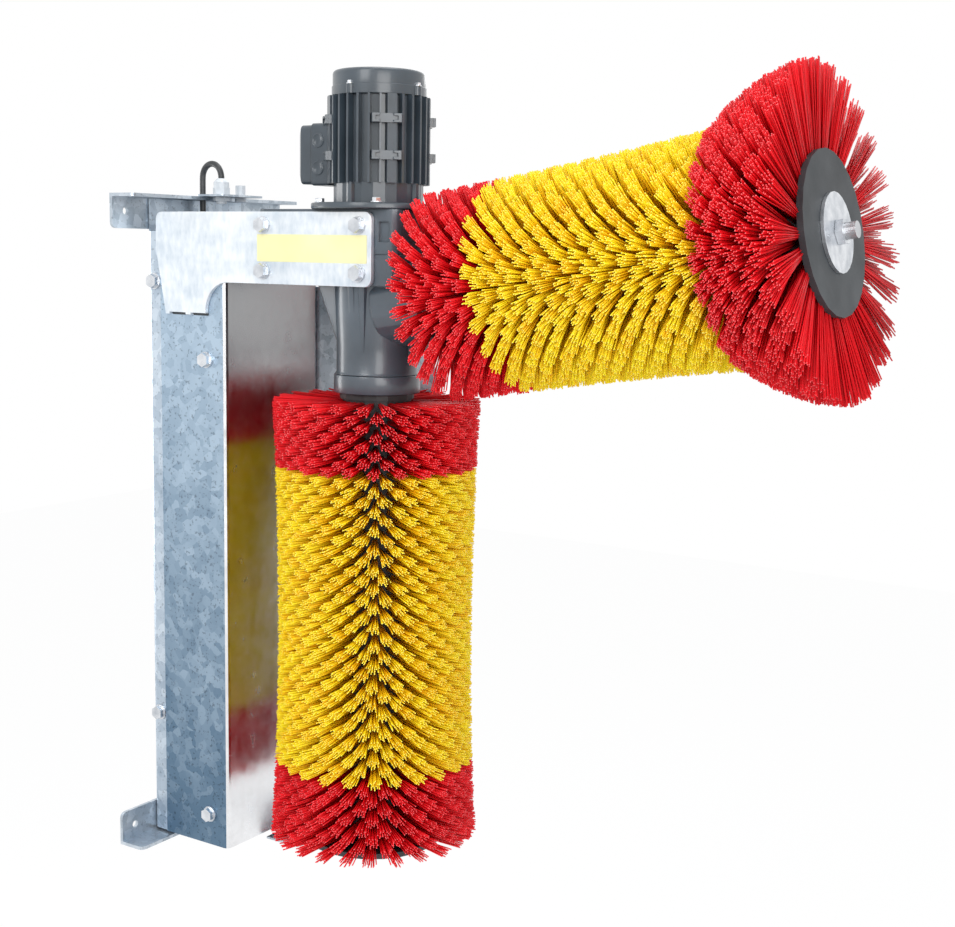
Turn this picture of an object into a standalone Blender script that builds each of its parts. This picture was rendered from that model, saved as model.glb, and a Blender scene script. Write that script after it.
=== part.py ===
"""Rotating cow brush with two driven brushes on a wall bracket.

Frame: X points out from the wall, Y runs along the wall, Z is up. The origin is
the centre of the top rail's back face, on the plane of the motor's axis.
"""
import math

import bmesh
import bpy
from mathutils import Matrix, Vector

MM = 0.001

# Fits
SEAT = 0.3 * MM              # gap between pieces that touch
RUN = 0.35 * MM              # gap between a turning piece and what carries it
OVERRUN = 2.0 * MM           # how far a cutter passes the face that it cuts
JOIN = 1.0 * MM              # overlap of two shapes that become one piece
FINE = 24                    # sides of a large round piece
MEDIUM = 20                  # sides of a middle-sized one
COARSE = 12                  # sides of a small one
ARC = 3                      # chords in a rounded corner
SHARP = math.radians(35)
WELD = 0.001 * MM            # points closer than this are one

# Wall rails: steel angles, the upper one with its flange on top
RAIL_LEG = 50.0 * MM
RAIL_REACH = 46.0 * MM
RAIL_T = 5.0 * MM
RAIL_NEAR_Y = -127.0 * MM
RAIL_LENGTH = 367.0 * MM
RAIL_PITCH = 932.0 * MM      # between the two rails' centres
RAIL_CORNER = 8.0 * MM
RAIL_HOLE_R = 5.5 * MM
RAIL_HOLE_INSET = 26.0 * MM

# Column: a channel against the wall and a folded cover in front of it
SHEET_T = 2.5 * MM
ARM_T = 7.0 * MM
ARM_INNER_Y = 63.0 * MM      # arm plates' inner faces, both sides of the axis
GUARD_INNER_Y = 149.0 * MM
COLUMN_FRONT_X = 161.0 * MM
COVER_BACK_X = 35.0 * MM
COLUMN_TOP_Z = -3.0 * MM
COLUMN_TAIL = 16.5 * MM      # column below the bottom rail's centre
COLUMN_BOTTOM_Z = -RAIL_PITCH - COLUMN_TAIL
COVER_FOLD_R = 8.0 * MM
CHANNEL_LIP_X = 56.0 * MM    # front edge of the channel's flanges
CHANNEL_SHOULDER_Z = -28.0 * MM

# Arm plates
ARM_START_X = 34.0 * MM
ARM_END_X = 429.0 * MM
ARM_HEIGHT = 99.5 * MM
ARM_TAIL_Z = -129.0 * MM
ARM_TAIL_BACK_X = 52.0 * MM
ARM_TAIL_FRONT_X = 131.0 * MM
ARM_SLANT_Z = -52.0 * MM     # the back edge slants below this height
ARM_CORNER = 11.0 * MM
ARM_ARMPIT_R = 30.0 * MM
ARM_CHORDS = 5               # in each of the plates' larger corners
ARM_SLOT_ROOM = 1.0 * MM     # below the far arm, where it passes the cover
ARM_BOLT_INSET = 21.6 * MM   # outer bolts, back from the plates' ends
ARM_BOLT_STEP_X = 166.4 * MM
ARM_BOLT_X = ARM_END_X - ARM_BOLT_INSET - ARM_BOLT_STEP_X
ARM_BOLT_STEP_Z = 63.4 * MM

# Guard plate beside the brush, with a flange folded along its foot
GUARD_T = 3.0 * MM
GUARD_SHOULDER_X = 245.0 * MM
GUARD_TOP_Z = -108.0 * MM
GUARD_NOSE_X = 386.0 * MM
GUARD_NOSE_TOP_Z = -224.0 * MM
GUARD_NOSE_BOTTOM_Z = -262.0 * MM
GUARD_FOOT_X = 286.0 * MM
GUARD_FOOT_Z = -RAIL_PITCH - 28.0 * MM
GUARD_CORNER = 14.0 * MM
FOOT_FLANGE_Y = 25.0 * MM    # free edge of the foot flange at the column
FOOT_FLANGE_STEP_X = 30.0 * MM
FOOT_FLANGE_TIP_Y = 98.0 * MM
FOOT_FLANGE_CORNER = 9.0 * MM

# Bolts
BOLT_R = 6.0 * MM
BOLT_HEAD_R = 10.4 * MM      # across the corners, half
BOLT_HEAD_H = 7.5 * MM
WASHER_R = 12.0 * MM
WASHER_T = 2.5 * MM
ARM_BOLT_REACH = 6.0 * MM    # into the gear case beyond the arm plate
COVER_BOLT_X = 126.0 * MM
COVER_BOLT_TOP_Z = -212.0 * MM
COVER_BOLT_BOTTOM_Z = COLUMN_BOTTOM_Z + 48.5 * MM
CHANNEL_BOLT_X = 22.0 * MM
CHANNEL_BOLT_TOP_Z = -101.0 * MM
CHANNEL_BOLT_BOTTOM_Z = COLUMN_BOTTOM_Z + 188.5 * MM
SHEET_BOLT_REACH = 9.0 * MM

# Cable entry on the top rail
GLAND_PLATE_T = 3.0 * MM
GLAND_PLATE_BACK_X = 36.0 * MM
GLAND_PLATE_DEPTH = 52.0 * MM
GLAND_PLATE_NEAR_Y = 14.0 * MM
GLAND_PLATE_WIDTH = 92.0 * MM
GLAND_PLATE_CORNER = 5.0 * MM
GLAND_X = 64.0 * MM
GLAND_Y = 38.0 * MM
GLAND_STEP_Y = 42.0 * MM     # from the gland to the blanking plug
GLAND_HEX_R = 13.0 * MM
GLAND_HEX_H = 10.0 * MM
GLAND_DOME_R = 11.8 * MM
GLAND_DOME_H = 13.7 * MM
GLAND_THREAD_R = 8.0 * MM
GLAND_NUT_R = 13.0 * MM
GLAND_NUT_H = 6.0 * MM
GLAND_TAIL = 4.0 * MM        # thread that stands out below the nut
GLAND_SHOULDER = 0.6         # share of the dome's height that is straight
GLAND_MOUTH_R = 6.6 * MM
PLUG_R = 7.8 * MM
PLUG_H = 15.0 * MM
PLUG_THREAD_R = 5.0 * MM
PLUG_NUT_R = 8.6 * MM

# Supply cable: from the gland, over, and down through the rail's flange
CABLE_R = 4.6 * MM
CABLE_SIDES = 2              # bevel resolution
CABLE_HOLE_R = 7.0 * MM
CABLE_ENTRY_X = 23.0 * MM
CABLE_ENTRY_Y = 41.0 * MM
CABLE_ROUTE = [              # hand-placed points, metres
    (0.0640, 0.0380, 0.0526),
    (0.0638, 0.0380, 0.0565),
    (0.0625, 0.0381, 0.0625),
    (0.0580, 0.0385, 0.0692),
    (0.0510, 0.0390, 0.0736),
    (0.0435, 0.0395, 0.0750),
    (0.0360, 0.0400, 0.0736),
    (0.0290, 0.0405, 0.0692),
    (0.0245, 0.0409, 0.0625),
    (0.0232, 0.0410, 0.0560),
    (0.0230, 0.0410, 0.0480),
    (0.0230, 0.0410, 0.0400),
    (0.0230, 0.0410, 0.0320),
    (0.0230, 0.0410, 0.0240),
    (0.0230, 0.0410, 0.0160),
    (0.0230, 0.0410, 0.0080),
    (0.0230, 0.0410, 0.0000),
]
CABLE_STEPS = 14

# Axes
MOTOR_X = 388.0 * MM
CROSSING_Z = -130.8 * MM     # where the side shaft's axis meets the motor's
SIDE_TILT = math.radians(9.5)

# Gear case
CASE_BACK_X = 222.0 * MM
CASE_FRONT_X = 463.0 * MM
CASE_TOP_Z = 3.7 * MM
CASE_SPLIT_Z = -56.0 * MM
CASE_BOTTOM_Z = -98.0 * MM
CASE_WALL = 9.0 * MM
CASE_ROOF = 11.0 * MM
CASE_CORNER = 14.0 * MM
CASE_ROOF_HOLE_R = 30.0 * MM
CASE_POCKET_X = 436.0 * MM
CASE_POCKET_DEPTH = 4.0 * MM
CASE_POCKET_W = 16.0 * MM
CASE_POCKET_H = 26.0 * MM
NECK_TOP_R = 60.0 * MM
NECK_R = 56.0 * MM
NECK_TAPER_Z = -182.0 * MM
NECK_BOTTOM_Z = -220.3 * MM
NECK_BORE_R = 46.0 * MM
NECK_BORE_END_Z = -178.0 * MM
RIB_R = 82.0 * MM
RIB_SIDE_R = 62.0 * MM       # for the two that face the arm plates
RIB_T = 9.0 * MM
RIB_SINK = 2.0 * MM           # how far a rib's foot lies under the neck's skin
RIB_ANGLES = (90, 135, 180, 225, 270)
GUSSET_REACH = 94.0 * MM     # under the side boss, out from the motor's axis
GUSSET_TIP_Z = -170.0 * MM
GUSSET_LOW_Z = -209.0 * MM
SIDE_BOSS_R = 58.0 * MM
SIDE_BOSS_START = 30.0 * MM
SIDE_BOSS_END = 104.0 * MM
SIDE_BORE_R = 43.0 * MM
SIDE_BORE_END = 72.0 * MM
COLLAR_R = 60.0 * MM
COLLAR_H = 25.2 * MM
CAP_HOLE_R = 17.0 * MM
SIDE_CAP_R = 50.0 * MM
SIDE_CAP_H = 5.0 * MM

# Input flange
FLANGE_R = 92.0 * MM
FLANGE_T = 8.0 * MM
FLANGE_CHAMFER = 1.5 * MM
FLANGE_HOLE_R = 14.0 * MM

# Motor
MOTOR_NECK_R = 61.5 * MM
MOTOR_NECK_H = 26.0 * MM
FIN_R = 70.0 * MM
FIN_ROOT_R = 58.0 * MM
FIN_T = 3.2 * MM
FIN_COUNT = 28
FIN_H = 116.0 * MM
MOTOR_BORE_R = 50.0 * MM
MOTOR_FLOOR = 8.0 * MM
END_CAP_R = 63.0 * MM
END_CAP_H = 34.0 * MM
END_CAP_EDGE = 5.0 * MM
END_CAP_WALL = 5.0 * MM
EAR_R = 6.0 * MM
EAR_H = 12.0 * MM
EAR_ANGLES = (0, 90, 180, 270)
EAR_SIDES = 8
END_CAP_RIM_H = 13.0 * MM    # the cap's lower band stands proud of the upper one
END_CAP_RIM_T = 1.2 * MM
PAD_ANGLES = (45, 135, 225, 315)
BROAD_FIN = 4                # in each quarter, the fin that carries the foot pads
BROAD_FIN_T = 13.0 * MM
PAD_LEVELS = (36.0 * MM, 84.0 * MM)
PAD_HALF_W = 20.0 * MM
PAD_H = 12.0 * MM
PAD_PROUD = 1.5 * MM
MOTOR_BEARING_R = 20.0 * MM
MOTOR_BEARING_H = 10.0 * MM
STATOR_T = 11.0 * MM
STATOR_H = 80.0 * MM
ROTOR_R = 38.0 * MM
ROTOR_H = 70.0 * MM
MOTOR_SHAFT_R = 9.5 * MM
BOX_INNER_X = 60.5 * MM      # terminal box base, out from the motor's axis
BOX_DEPTH = 25.5 * MM
BOX_WIDTH = 90.0 * MM
BOX_BOTTOM_Z = 29.0 * MM
BOX_HEIGHT = 83.0 * MM
BOX_WALL = 4.0 * MM
BOX_CORNER = 6.0 * MM
LID_DEPTH = 17.5 * MM
LID_CHAMFER = 8.0 * MM
KNOCKOUT_R = 9.0 * MM
KNOCKOUT_DEPTH = 1.5 * MM
KNOCKOUT_STEP = 37.0 * MM

# Spur gears, two stages, coaxial input and output
MODULE = 1.5 * MM
WHEEL_TEETH = 48
PINION_TEETH = 12
ROOT_SHARE = 1.25            # tooth depth below the pitch circle, in modules
PRESSURE = math.radians(20)
BACKLASH = 0.25 * MM
FIRST_STAGE_Z = -22.0 * MM
SECOND_STAGE_Z = -38.0 * MM
GEAR_WIDTH = 12.0 * MM
AXLE_R = 4.0 * MM
AXLE_SINK = 4.0 * MM
CARRIER_TOP_Z = -44.0 * MM
CARRIER_T = 6.0 * MM
CARRIER_BEARING_R = 26.0 * MM
BEARING_H = 12.0 * MM

# Bevel pair, one to one, at the angle between the two shafts
BEVEL_TEETH = 18
BEVEL_R = 34.0 * MM
BEVEL_DEPTH_SHARE = 0.32     # face width along the cone
BEVEL_BACKLASH = 0.7 * MM
BEVEL_ROOT = -1.1            # heights on the back cone, in modules
BEVEL_TIP = 0.8
BEVEL_HUB_R = 20.0 * MM
BEVEL_HUB_H = 5.0 * MM

# Shafts
SHAFT_R = 14.0 * MM
STUD_R = 10.0 * MM
STUD_LENGTH = 27.0 * MM
OUTPUT_BEARING_R = 31.0 * MM

# Brushes
CORE_R = 48.0 * MM
CORE_WALL = 4.0 * MM
CORE_PLATE = 6.0 * MM
HUB_COLLAR_R = 51.7 * MM
HUB_COLLAR_H = 7.2 * MM
BRUSH_TOP_Z = -254.0 * MM
BRUSH_LENGTH = 627.5 * MM
TOP_BAND = 95.0 * MM
BOTTOM_BAND = 109.0 * MM
BRUSH_TOP_R = 146.0 * MM
BRUSH_WAIST_R = 138.5 * MM
BRUSH_BOTTOM_R = 149.0 * MM
SIDE_BRISTLE_START = 118.5 * MM
SIDE_INNER_BAND = 112.5 * MM
SIDE_OUTER_BAND = 110.0 * MM
SIDE_BRUSH_END = 651.0 * MM
SIDE_INNER_R = 141.0 * MM
SIDE_WAIST_R = 140.0 * MM
SIDE_SHOULDER_R = 147.0 * MM
SIDE_FLARE_R = 200.0 * MM
SIDE_FLARE_PROUD = 6.0 * MM
TUFTS_AROUND = 25
RING_STEP = 13.0 * MM        # along the brush, from one ring of tufts to the next
FLUTE_DEPTH = 36.0 * MM      # between the rows of tufts
ROW_SHARE = 0.4              # of a tuft's pitch that a row fills at its tip
PITCHES_PER_SPAN = 2
DISC_R = 97.3 * MM
DISC_T = 7.5 * MM
END_WASHER_R = 47.0 * MM
END_WASHER_T = 4.0 * MM
END_NUT_R = 16.0 * MM
END_NUT_H = 9.0 * MM

GALVANISED = ((0.62, 0.67, 0.71), 0.38, 0.85)
ZINC = ((0.75, 0.76, 0.78), 0.3, 0.9)
PAINT = ((0.075, 0.11, 0.145), 0.4, 0.2)
STEEL = ((0.55, 0.56, 0.58), 0.35, 0.9)
COPPER = ((0.6, 0.28, 0.12), 0.45, 0.8)
RED = ((0.68, 0.015, 0.02), 0.5, 0.0)
YELLOW = ((0.93, 0.62, 0.01), 0.5, 0.0)
BLACK = ((0.02, 0.02, 0.022), 0.55, 0.0)
RUBBER = ((0.025, 0.027, 0.03), 0.75, 0.0)
PALE = ((0.7, 0.72, 0.73), 0.45, 0.0)


def clear_scene():
    for old in list(bpy.data.objects):
        bpy.data.objects.remove(old, do_unlink=True)


def material(name, finish):
    colour, roughness, metallic = finish
    mat = bpy.data.materials.new(name)
    mat.use_nodes = True
    shader = mat.node_tree.nodes["Principled BSDF"]
    shader.inputs["Base Color"].default_value = (*colour, 1)
    shader.inputs["Roughness"].default_value = roughness
    shader.inputs["Metallic"].default_value = metallic
    return mat


def place(name, bm, finish=None, parent=None):
    """Makes an object of a bmesh. One without a finish is a hidden tool."""
    bmesh.ops.recalc_face_normals(bm, faces=bm.faces)
    if bm.calc_volume(signed=True) < 0:
        bmesh.ops.reverse_faces(bm, faces=bm.faces)
    mesh = bpy.data.meshes.new(name)
    bm.to_mesh(mesh)
    bm.free()
    piece = bpy.data.objects.new(name, mesh)
    bpy.context.scene.collection.objects.link(piece)
    piece.parent = parent
    if finish:
        mesh.materials.append(material(name, finish))
        mesh.shade_smooth()
        mesh.set_sharp_from_angle(angle=SHARP)
    else:
        piece.hide_render = True
        piece.display_type = "WIRE"
    return piece


def combine(piece, tool, operation):
    change = piece.modifiers.new(f"{operation}_{tool.name}", "BOOLEAN")
    change.operation = operation
    change.object = tool
    change.solver = "EXACT"


def cut(piece, *tools):
    for tool in tools:
        combine(piece, tool, "DIFFERENCE")


def fuse(piece, *tools):
    for tool in tools:
        combine(piece, tool, "UNION")


def empty(name, location, turn_y=0.0):
    axis = bpy.data.objects.new(name, None)
    axis.location = location
    axis.rotation_euler = (0, turn_y, 0)
    bpy.context.scene.collection.objects.link(axis)
    return axis


def turned(name, profile, finish=None, parent=None, sides=FINE, at=(0, 0, 0)):
    """Revolves (radius, height) points about Z. A profile that starts on the axis has flat closed ends."""
    bm = bmesh.new()
    verts = [bm.verts.new((r, 0, z)) for r, z in profile]
    chain = list(zip(verts, verts[1:]))
    if profile[0][0] > 0 or profile[-1][0] > 0:
        chain.append((verts[-1], verts[0]))
    edges = [bm.edges.new(pair) for pair in chain]
    bmesh.ops.spin(
        bm,
        geom=verts + edges,
        cent=(0, 0, 0),
        axis=(0, 0, 1),
        angle=math.tau,
        steps=sides,
        use_merge=True,
    )
    bmesh.ops.remove_doubles(bm, verts=bm.verts, dist=WELD)
    flat_ends = [vert for vert in bm.verts if vert.co.xy.length < WELD]
    bmesh.ops.dissolve_verts(bm, verts=flat_ends)
    bmesh.ops.translate(bm, verts=bm.verts, vec=at)
    return place(name, bm, finish, parent)


def ring(name, inner, outer, low, high, finish=None, parent=None, sides=FINE, at=(0, 0, 0)):
    profile = [(outer, low), (outer, high), (inner, high), (inner, low)]
    return turned(name, profile, finish, parent, sides, at)


def rod(name, radius, low, high, finish=None, parent=None, sides=FINE, at=(0, 0, 0)):
    profile = [(0, low), (radius, low), (radius, high), (0, high)]
    return turned(name, profile, finish, parent, sides, at)


def extruded(name, outline, low, high, along="Z", finish=None, parent=None):
    """Pushes a flat outline from low to high along one axis."""
    def spot(u, v, w):
        if along == "X":
            return (w, u, v)
        if along == "Y":
            return (u, w, v)
        return (u, v, w)

    bm = bmesh.new()
    face = bm.faces.new([bm.verts.new(spot(u, v, low)) for u, v in outline])
    grown = bmesh.ops.extrude_face_region(bm, geom=[face])
    moved = [part for part in grown["geom"] if isinstance(part, bmesh.types.BMVert)]
    bmesh.ops.translate(bm, verts=moved, vec=spot(0, 0, high - low))
    return place(name, bm, finish, parent)


def block(name, low, high, finish=None, parent=None):
    outline = [(low[0], low[1]), (high[0], low[1]), (high[0], high[1]), (low[0], high[1])]
    return extruded(name, outline, low[2], high[2], "Z", finish, parent)


def rounded(corners, steps=ARC):
    """Rounds an outline given as (u, v, radius); a radius of zero keeps the corner sharp."""
    points = []
    for i, (u, v, radius) in enumerate(corners):
        here = Vector((u, v))
        if radius == 0:
            points.append((u, v))
            continue
        back = (Vector(corners[i - 1][:2]) - here).normalized()
        on = (Vector(corners[(i + 1) % len(corners)][:2]) - here).normalized()
        half = back.angle(on) / 2
        centre = here + (back + on).normalized() * (radius / math.sin(half))
        start = here + back * (radius / math.tan(half)) - centre
        end = here + on * (radius / math.tan(half)) - centre
        sweep = start.angle_signed(end)
        for step in range(steps + 1):
            arm = Matrix.Rotation(-sweep * step / steps, 2) @ start
            points.append(tuple(centre + arm))
    return points


def bar_along(name, radius, start, end, sides=COARSE, finish=None, parent=None):
    """A round bar between two points, as a tool for holes or as a piece."""
    span = Vector(end) - Vector(start)
    bm = bmesh.new()
    bmesh.ops.create_cone(
        bm,
        cap_ends=True,
        segments=sides,
        radius1=radius,
        radius2=radius,
        depth=span.length,
    )
    turn = span.to_track_quat("Z", "Y").to_matrix().to_4x4()
    bm.transform(Matrix.Translation((Vector(start) + Vector(end)) / 2) @ turn)
    return place(name, bm, finish, parent)


def bolt(name, head, direction, reach, finish=ZINC):
    """A hexagon bolt with its washer; head is the point on the face under the washer."""
    head = Vector(head)
    out = -Vector(direction)
    lift = out * SEAT
    under = head + lift + out * WASHER_T
    piece = bar_along(name, WASHER_R, head + lift, under, COARSE, finish)
    cap = bar_along(f"{name}_head", BOLT_HEAD_R, under - out * WASHER_T / 2, under + out * BOLT_HEAD_H, 6)
    shank = bar_along(f"{name}_shank", BOLT_R, head - out * reach, under, COARSE)
    fuse(piece, cap, shank)
    return piece


def hole_for_bolt(piece, name, head, direction, reach):
    head = Vector(head)
    on = Vector(direction)
    tool = bar_along(name, BOLT_R + RUN, head - on * OVERRUN, head + on * (reach + RUN))
    cut(piece, tool)


def build_rail(name, centre_z, flange_up):
    """A steel angle on the wall, its corners rounded, with a bolt hole near each end."""
    side = 1 if flange_up else -1
    tip = centre_z + side * RAIL_LEG / 2
    inside = tip - side * RAIL_T
    foot = centre_z - side * RAIL_LEG / 2
    outline = [
        (0, foot), (RAIL_T, foot), (RAIL_T, inside), (RAIL_REACH, inside), (RAIL_REACH, tip), (0, tip),
    ]
    far_y = RAIL_NEAR_Y + RAIL_LENGTH
    rail = extruded(name, outline, RAIL_NEAR_Y, far_y, "Y", GALVANISED)
    bm = bmesh.new()
    bm.from_mesh(rail.data)
    ends = []
    for edge in bm.edges:
        a, b = (vert.co for vert in edge.verts)
        across = abs(a.y - b.y) < WELD
        leg_corner = across and abs(a.z - foot) < WELD and abs(b.z - foot) < WELD
        flange_corner = across and abs(a.x - RAIL_REACH) < WELD and abs(b.x - RAIL_REACH) < WELD
        if leg_corner or flange_corner:
            ends.append(edge)
    bmesh.ops.bevel(bm, geom=ends, offset=RAIL_CORNER, segments=ARC, affect="EDGES", profile=0.5)
    bm.to_mesh(rail.data)
    bm.free()
    for label, y in (("near", RAIL_NEAR_Y + RAIL_HOLE_INSET), ("far", far_y - RAIL_HOLE_INSET)):
        start = (-OVERRUN, y, centre_z)
        end = (RAIL_T + OVERRUN, y, centre_z)
        cut(rail, bar_along(f"{name}_{label}_hole", RAIL_HOLE_R, start, end))
    return rail


def build_wall_rails():
    top = build_rail("top_wall_rail", 0, True)
    entry = (CABLE_ENTRY_X, CABLE_ENTRY_Y)
    low = RAIL_LEG / 2 - RAIL_T - OVERRUN
    high = RAIL_LEG / 2 + OVERRUN
    cut(top, rod("cable_hole", CABLE_HOLE_R, low, high, sides=COARSE, at=(*entry, 0)))
    build_rail("bottom_wall_rail", -RAIL_PITCH, False)


def cover_side_y():
    """Outer faces of the cover's two sides."""
    return -(ARM_INNER_Y - SEAT), GUARD_INNER_Y - SEAT


def channel_side_y():
    near, far = cover_side_y()
    return near + SHEET_T + SEAT, far - SHEET_T - SEAT


def tray_outline(back_x, front_x, near_y, far_y, thickness, corner, open_to_wall):
    """Section of a folded tray in the plan view, open to the wall or away from it."""
    if open_to_wall:
        outer_x, inner_x, tip_x = front_x, front_x - thickness, back_x
    else:
        outer_x, inner_x, tip_x = back_x, back_x + thickness, front_x
    inner_corner = corner - thickness
    return rounded([
        (tip_x, near_y, 0),
        (outer_x, near_y, corner),
        (outer_x, far_y, corner),
        (tip_x, far_y, 0),
        (tip_x, far_y - thickness, 0),
        (inner_x, far_y - thickness, inner_corner),
        (inner_x, near_y + thickness, inner_corner),
        (tip_x, near_y + thickness, 0),
    ])


def build_column():
    near, far = channel_side_y()
    back = RAIL_T + SEAT
    outline = tray_outline(back, CHANNEL_LIP_X, near, far, SHEET_T, COVER_FOLD_R, False)
    rail_underside = RAIL_LEG / 2 - RAIL_T - SEAT
    channel = extruded("back_channel", outline, COLUMN_BOTTOM_Z, rail_underside, "Z", GALVANISED)
    low = (back + SHEET_T, near - OVERRUN, CHANNEL_SHOULDER_Z)
    high = (CHANNEL_LIP_X + OVERRUN, far + OVERRUN, rail_underside + OVERRUN)
    cut(channel, block("channel_shoulder", low, high))

    near, far = cover_side_y()
    outline = tray_outline(COVER_BACK_X, COLUMN_FRONT_X, near, far, SHEET_T, COVER_FOLD_R, True)
    cover = extruded("front_cover", outline, COLUMN_BOTTOM_Z, COLUMN_TOP_Z, "Z", GALVANISED)
    arm_slot = block(
        "cover_arm_slot",
        (COLUMN_FRONT_X - COVER_FOLD_R, ARM_INNER_Y - SEAT, -ARM_HEIGHT - ARM_SLOT_ROOM),
        (COLUMN_FRONT_X + OVERRUN, ARM_INNER_Y + ARM_T + SEAT, COLUMN_TOP_Z + OVERRUN),
    )
    cut(cover, arm_slot)

    for label, x, z in (
        ("upper", COVER_BOLT_X, COVER_BOLT_TOP_Z),
        ("lower", COVER_BOLT_X, COVER_BOLT_BOTTOM_Z),
    ):
        head = (x, near, z)
        hole_for_bolt(cover, f"cover_bolt_{label}_hole", head, (0, 1, 0), SHEET_T + OVERRUN)
        bolt(f"cover_bolt_{label}", head, (0, 1, 0), SHEET_BOLT_REACH)
    near_channel = channel_side_y()[0]
    for label, x, z in (
        ("upper", CHANNEL_BOLT_X, CHANNEL_BOLT_TOP_Z),
        ("lower", CHANNEL_BOLT_X, CHANNEL_BOLT_BOTTOM_Z),
    ):
        head = (x, near_channel, z)
        hole_for_bolt(channel, f"channel_bolt_{label}_hole", head, (0, 1, 0), SHEET_T + OVERRUN)
        bolt(f"channel_bolt_{label}", head, (0, 1, 0), SHEET_BOLT_REACH)


def arm_bolt_spots():
    middle = -ARM_HEIGHT / 2
    for part, x in (("inner", ARM_BOLT_X), ("outer", ARM_BOLT_X + ARM_BOLT_STEP_X)):
        for level, sign in (("upper", 1), ("lower", -1)):
            yield f"{part}_{level}", x, middle + sign * ARM_BOLT_STEP_Z / 2


def build_arms():
    outline = rounded([
        (ARM_START_X, 0, ARM_CORNER),
        (ARM_END_X, 0, ARM_CORNER),
        (ARM_END_X, -ARM_HEIGHT, ARM_CORNER),
        (ARM_TAIL_FRONT_X, -ARM_HEIGHT, ARM_ARMPIT_R),
        (ARM_TAIL_FRONT_X, ARM_TAIL_Z - ARM_ARMPIT_R, 0),
        (ARM_TAIL_BACK_X, ARM_TAIL_Z - ARM_ARMPIT_R, 0),
        (ARM_START_X, ARM_SLANT_Z, 0),
    ], ARM_CHORDS)
    for name, side in (("near", -1), ("far", 1)):
        inner = side * ARM_INNER_Y
        outer = side * (ARM_INNER_Y + ARM_T)
        low, high = sorted((inner, outer))
        plate = extruded(f"{name}_arm_plate", outline, low, high, "Y", GALVANISED)
        inward = (0, -side, 0)
        for spot, x, z in arm_bolt_spots():
            hole_for_bolt(plate, f"{name}_{spot}_plate_hole", (x, outer, z), inward, ARM_T + OVERRUN)
            bolt(f"{name}_arm_bolt_{spot}", (x, outer, z), inward, ARM_T + ARM_BOLT_REACH)


def build_guard():
    """The side plate beyond the brush, with a flange folded towards the brush at its foot."""
    outer = GUARD_INNER_Y + GUARD_T
    back = RAIL_REACH + SEAT
    outline = rounded([
        (back, GUARD_TOP_Z, 0),
        (GUARD_SHOULDER_X, GUARD_TOP_Z, GUARD_CORNER),
        (GUARD_NOSE_X, GUARD_NOSE_TOP_Z, GUARD_CORNER),
        (GUARD_NOSE_X, GUARD_NOSE_BOTTOM_Z, GUARD_CORNER),
        (GUARD_FOOT_X, GUARD_FOOT_Z, 0),
        (back, GUARD_FOOT_Z, 0),
    ])
    guard = extruded("guard_plate", outline, GUARD_INNER_Y, outer, "Y", GALVANISED)
    start = COLUMN_FRONT_X + SEAT
    overlap = GUARD_INNER_Y + GUARD_T / 2
    foot = rounded([
        (start, FOOT_FLANGE_Y, 0),
        (start + FOOT_FLANGE_STEP_X, FOOT_FLANGE_Y, FOOT_FLANGE_CORNER),
        (GUARD_FOOT_X + FOOT_FLANGE_STEP_X, FOOT_FLANGE_TIP_Y, FOOT_FLANGE_CORNER),
        (GUARD_FOOT_X, GUARD_INNER_Y, 0),
        (GUARD_FOOT_X, overlap, 0),
        (start, overlap, 0),
    ])
    fuse(guard, extruded("guard_foot", foot, GUARD_FOOT_Z, GUARD_FOOT_Z + GUARD_T, "Z"))


def build_cable_entry():
    low = RAIL_LEG / 2 + SEAT
    high = low + GLAND_PLATE_T
    back = GLAND_PLATE_BACK_X
    front = back + GLAND_PLATE_DEPTH
    near = GLAND_PLATE_NEAR_Y
    far = near + GLAND_PLATE_WIDTH
    r = GLAND_PLATE_CORNER
    outline = rounded([(back, near, r), (front, near, r), (front, far, r), (back, far, r)])
    plate = extruded("gland_plate", outline, low, high, "Z", GALVANISED)
    gland_at = (GLAND_X, GLAND_Y, 0)
    plug_at = (GLAND_X, GLAND_Y + GLAND_STEP_Y, 0)
    for name, radius, at in (
        ("gland_hole", GLAND_THREAD_R, gland_at),
        ("plug_hole", PLUG_THREAD_R, plug_at),
    ):
        cut(plate, rod(name, radius + SEAT, low - OVERRUN, high + OVERRUN, sides=COARSE, at=at))

    base = high + SEAT
    nut_top = low - SEAT
    dome = base + GLAND_HEX_H
    bore = CABLE_R + SEAT
    tail = nut_top - GLAND_NUT_H - GLAND_TAIL
    gland = turned("cable_gland", [
        (bore, tail), (GLAND_THREAD_R, tail), (GLAND_THREAD_R, dome - OVERRUN),
        (GLAND_DOME_R, dome - OVERRUN),
        (GLAND_DOME_R, dome + GLAND_DOME_H * GLAND_SHOULDER),
        (GLAND_MOUTH_R, dome + GLAND_DOME_H), (bore, dome + GLAND_DOME_H),
    ], PALE, sides=COARSE, at=gland_at)
    collar = bar_along("gland_hex", GLAND_HEX_R, (GLAND_X, GLAND_Y, base), (GLAND_X, GLAND_Y, dome), 6)
    nut = bar_along(
        "gland_nut", GLAND_NUT_R, (GLAND_X, GLAND_Y, nut_top - GLAND_NUT_H), (GLAND_X, GLAND_Y, nut_top), 6
    )
    core = rod("gland_bore", bore, tail - OVERRUN, dome + GLAND_DOME_H + OVERRUN, sides=COARSE, at=gland_at)
    fuse(gland, collar, nut)
    cut(gland, core)

    low, high = tail + GLAND_TAIL, base + PLUG_H
    plug = rod("blanking_plug", PLUG_THREAD_R, low, high - OVERRUN, PALE, sides=COARSE, at=plug_at)
    cap = rod("plug_cap", PLUG_R, base, high, sides=COARSE, at=plug_at)
    x, y = plug_at[:2]
    nut = bar_along("plug_nut", PLUG_NUT_R, (x, y, nut_top - GLAND_NUT_H), (x, y, nut_top), 6)
    fuse(plug, cap, nut)
    build_cable()


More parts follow.
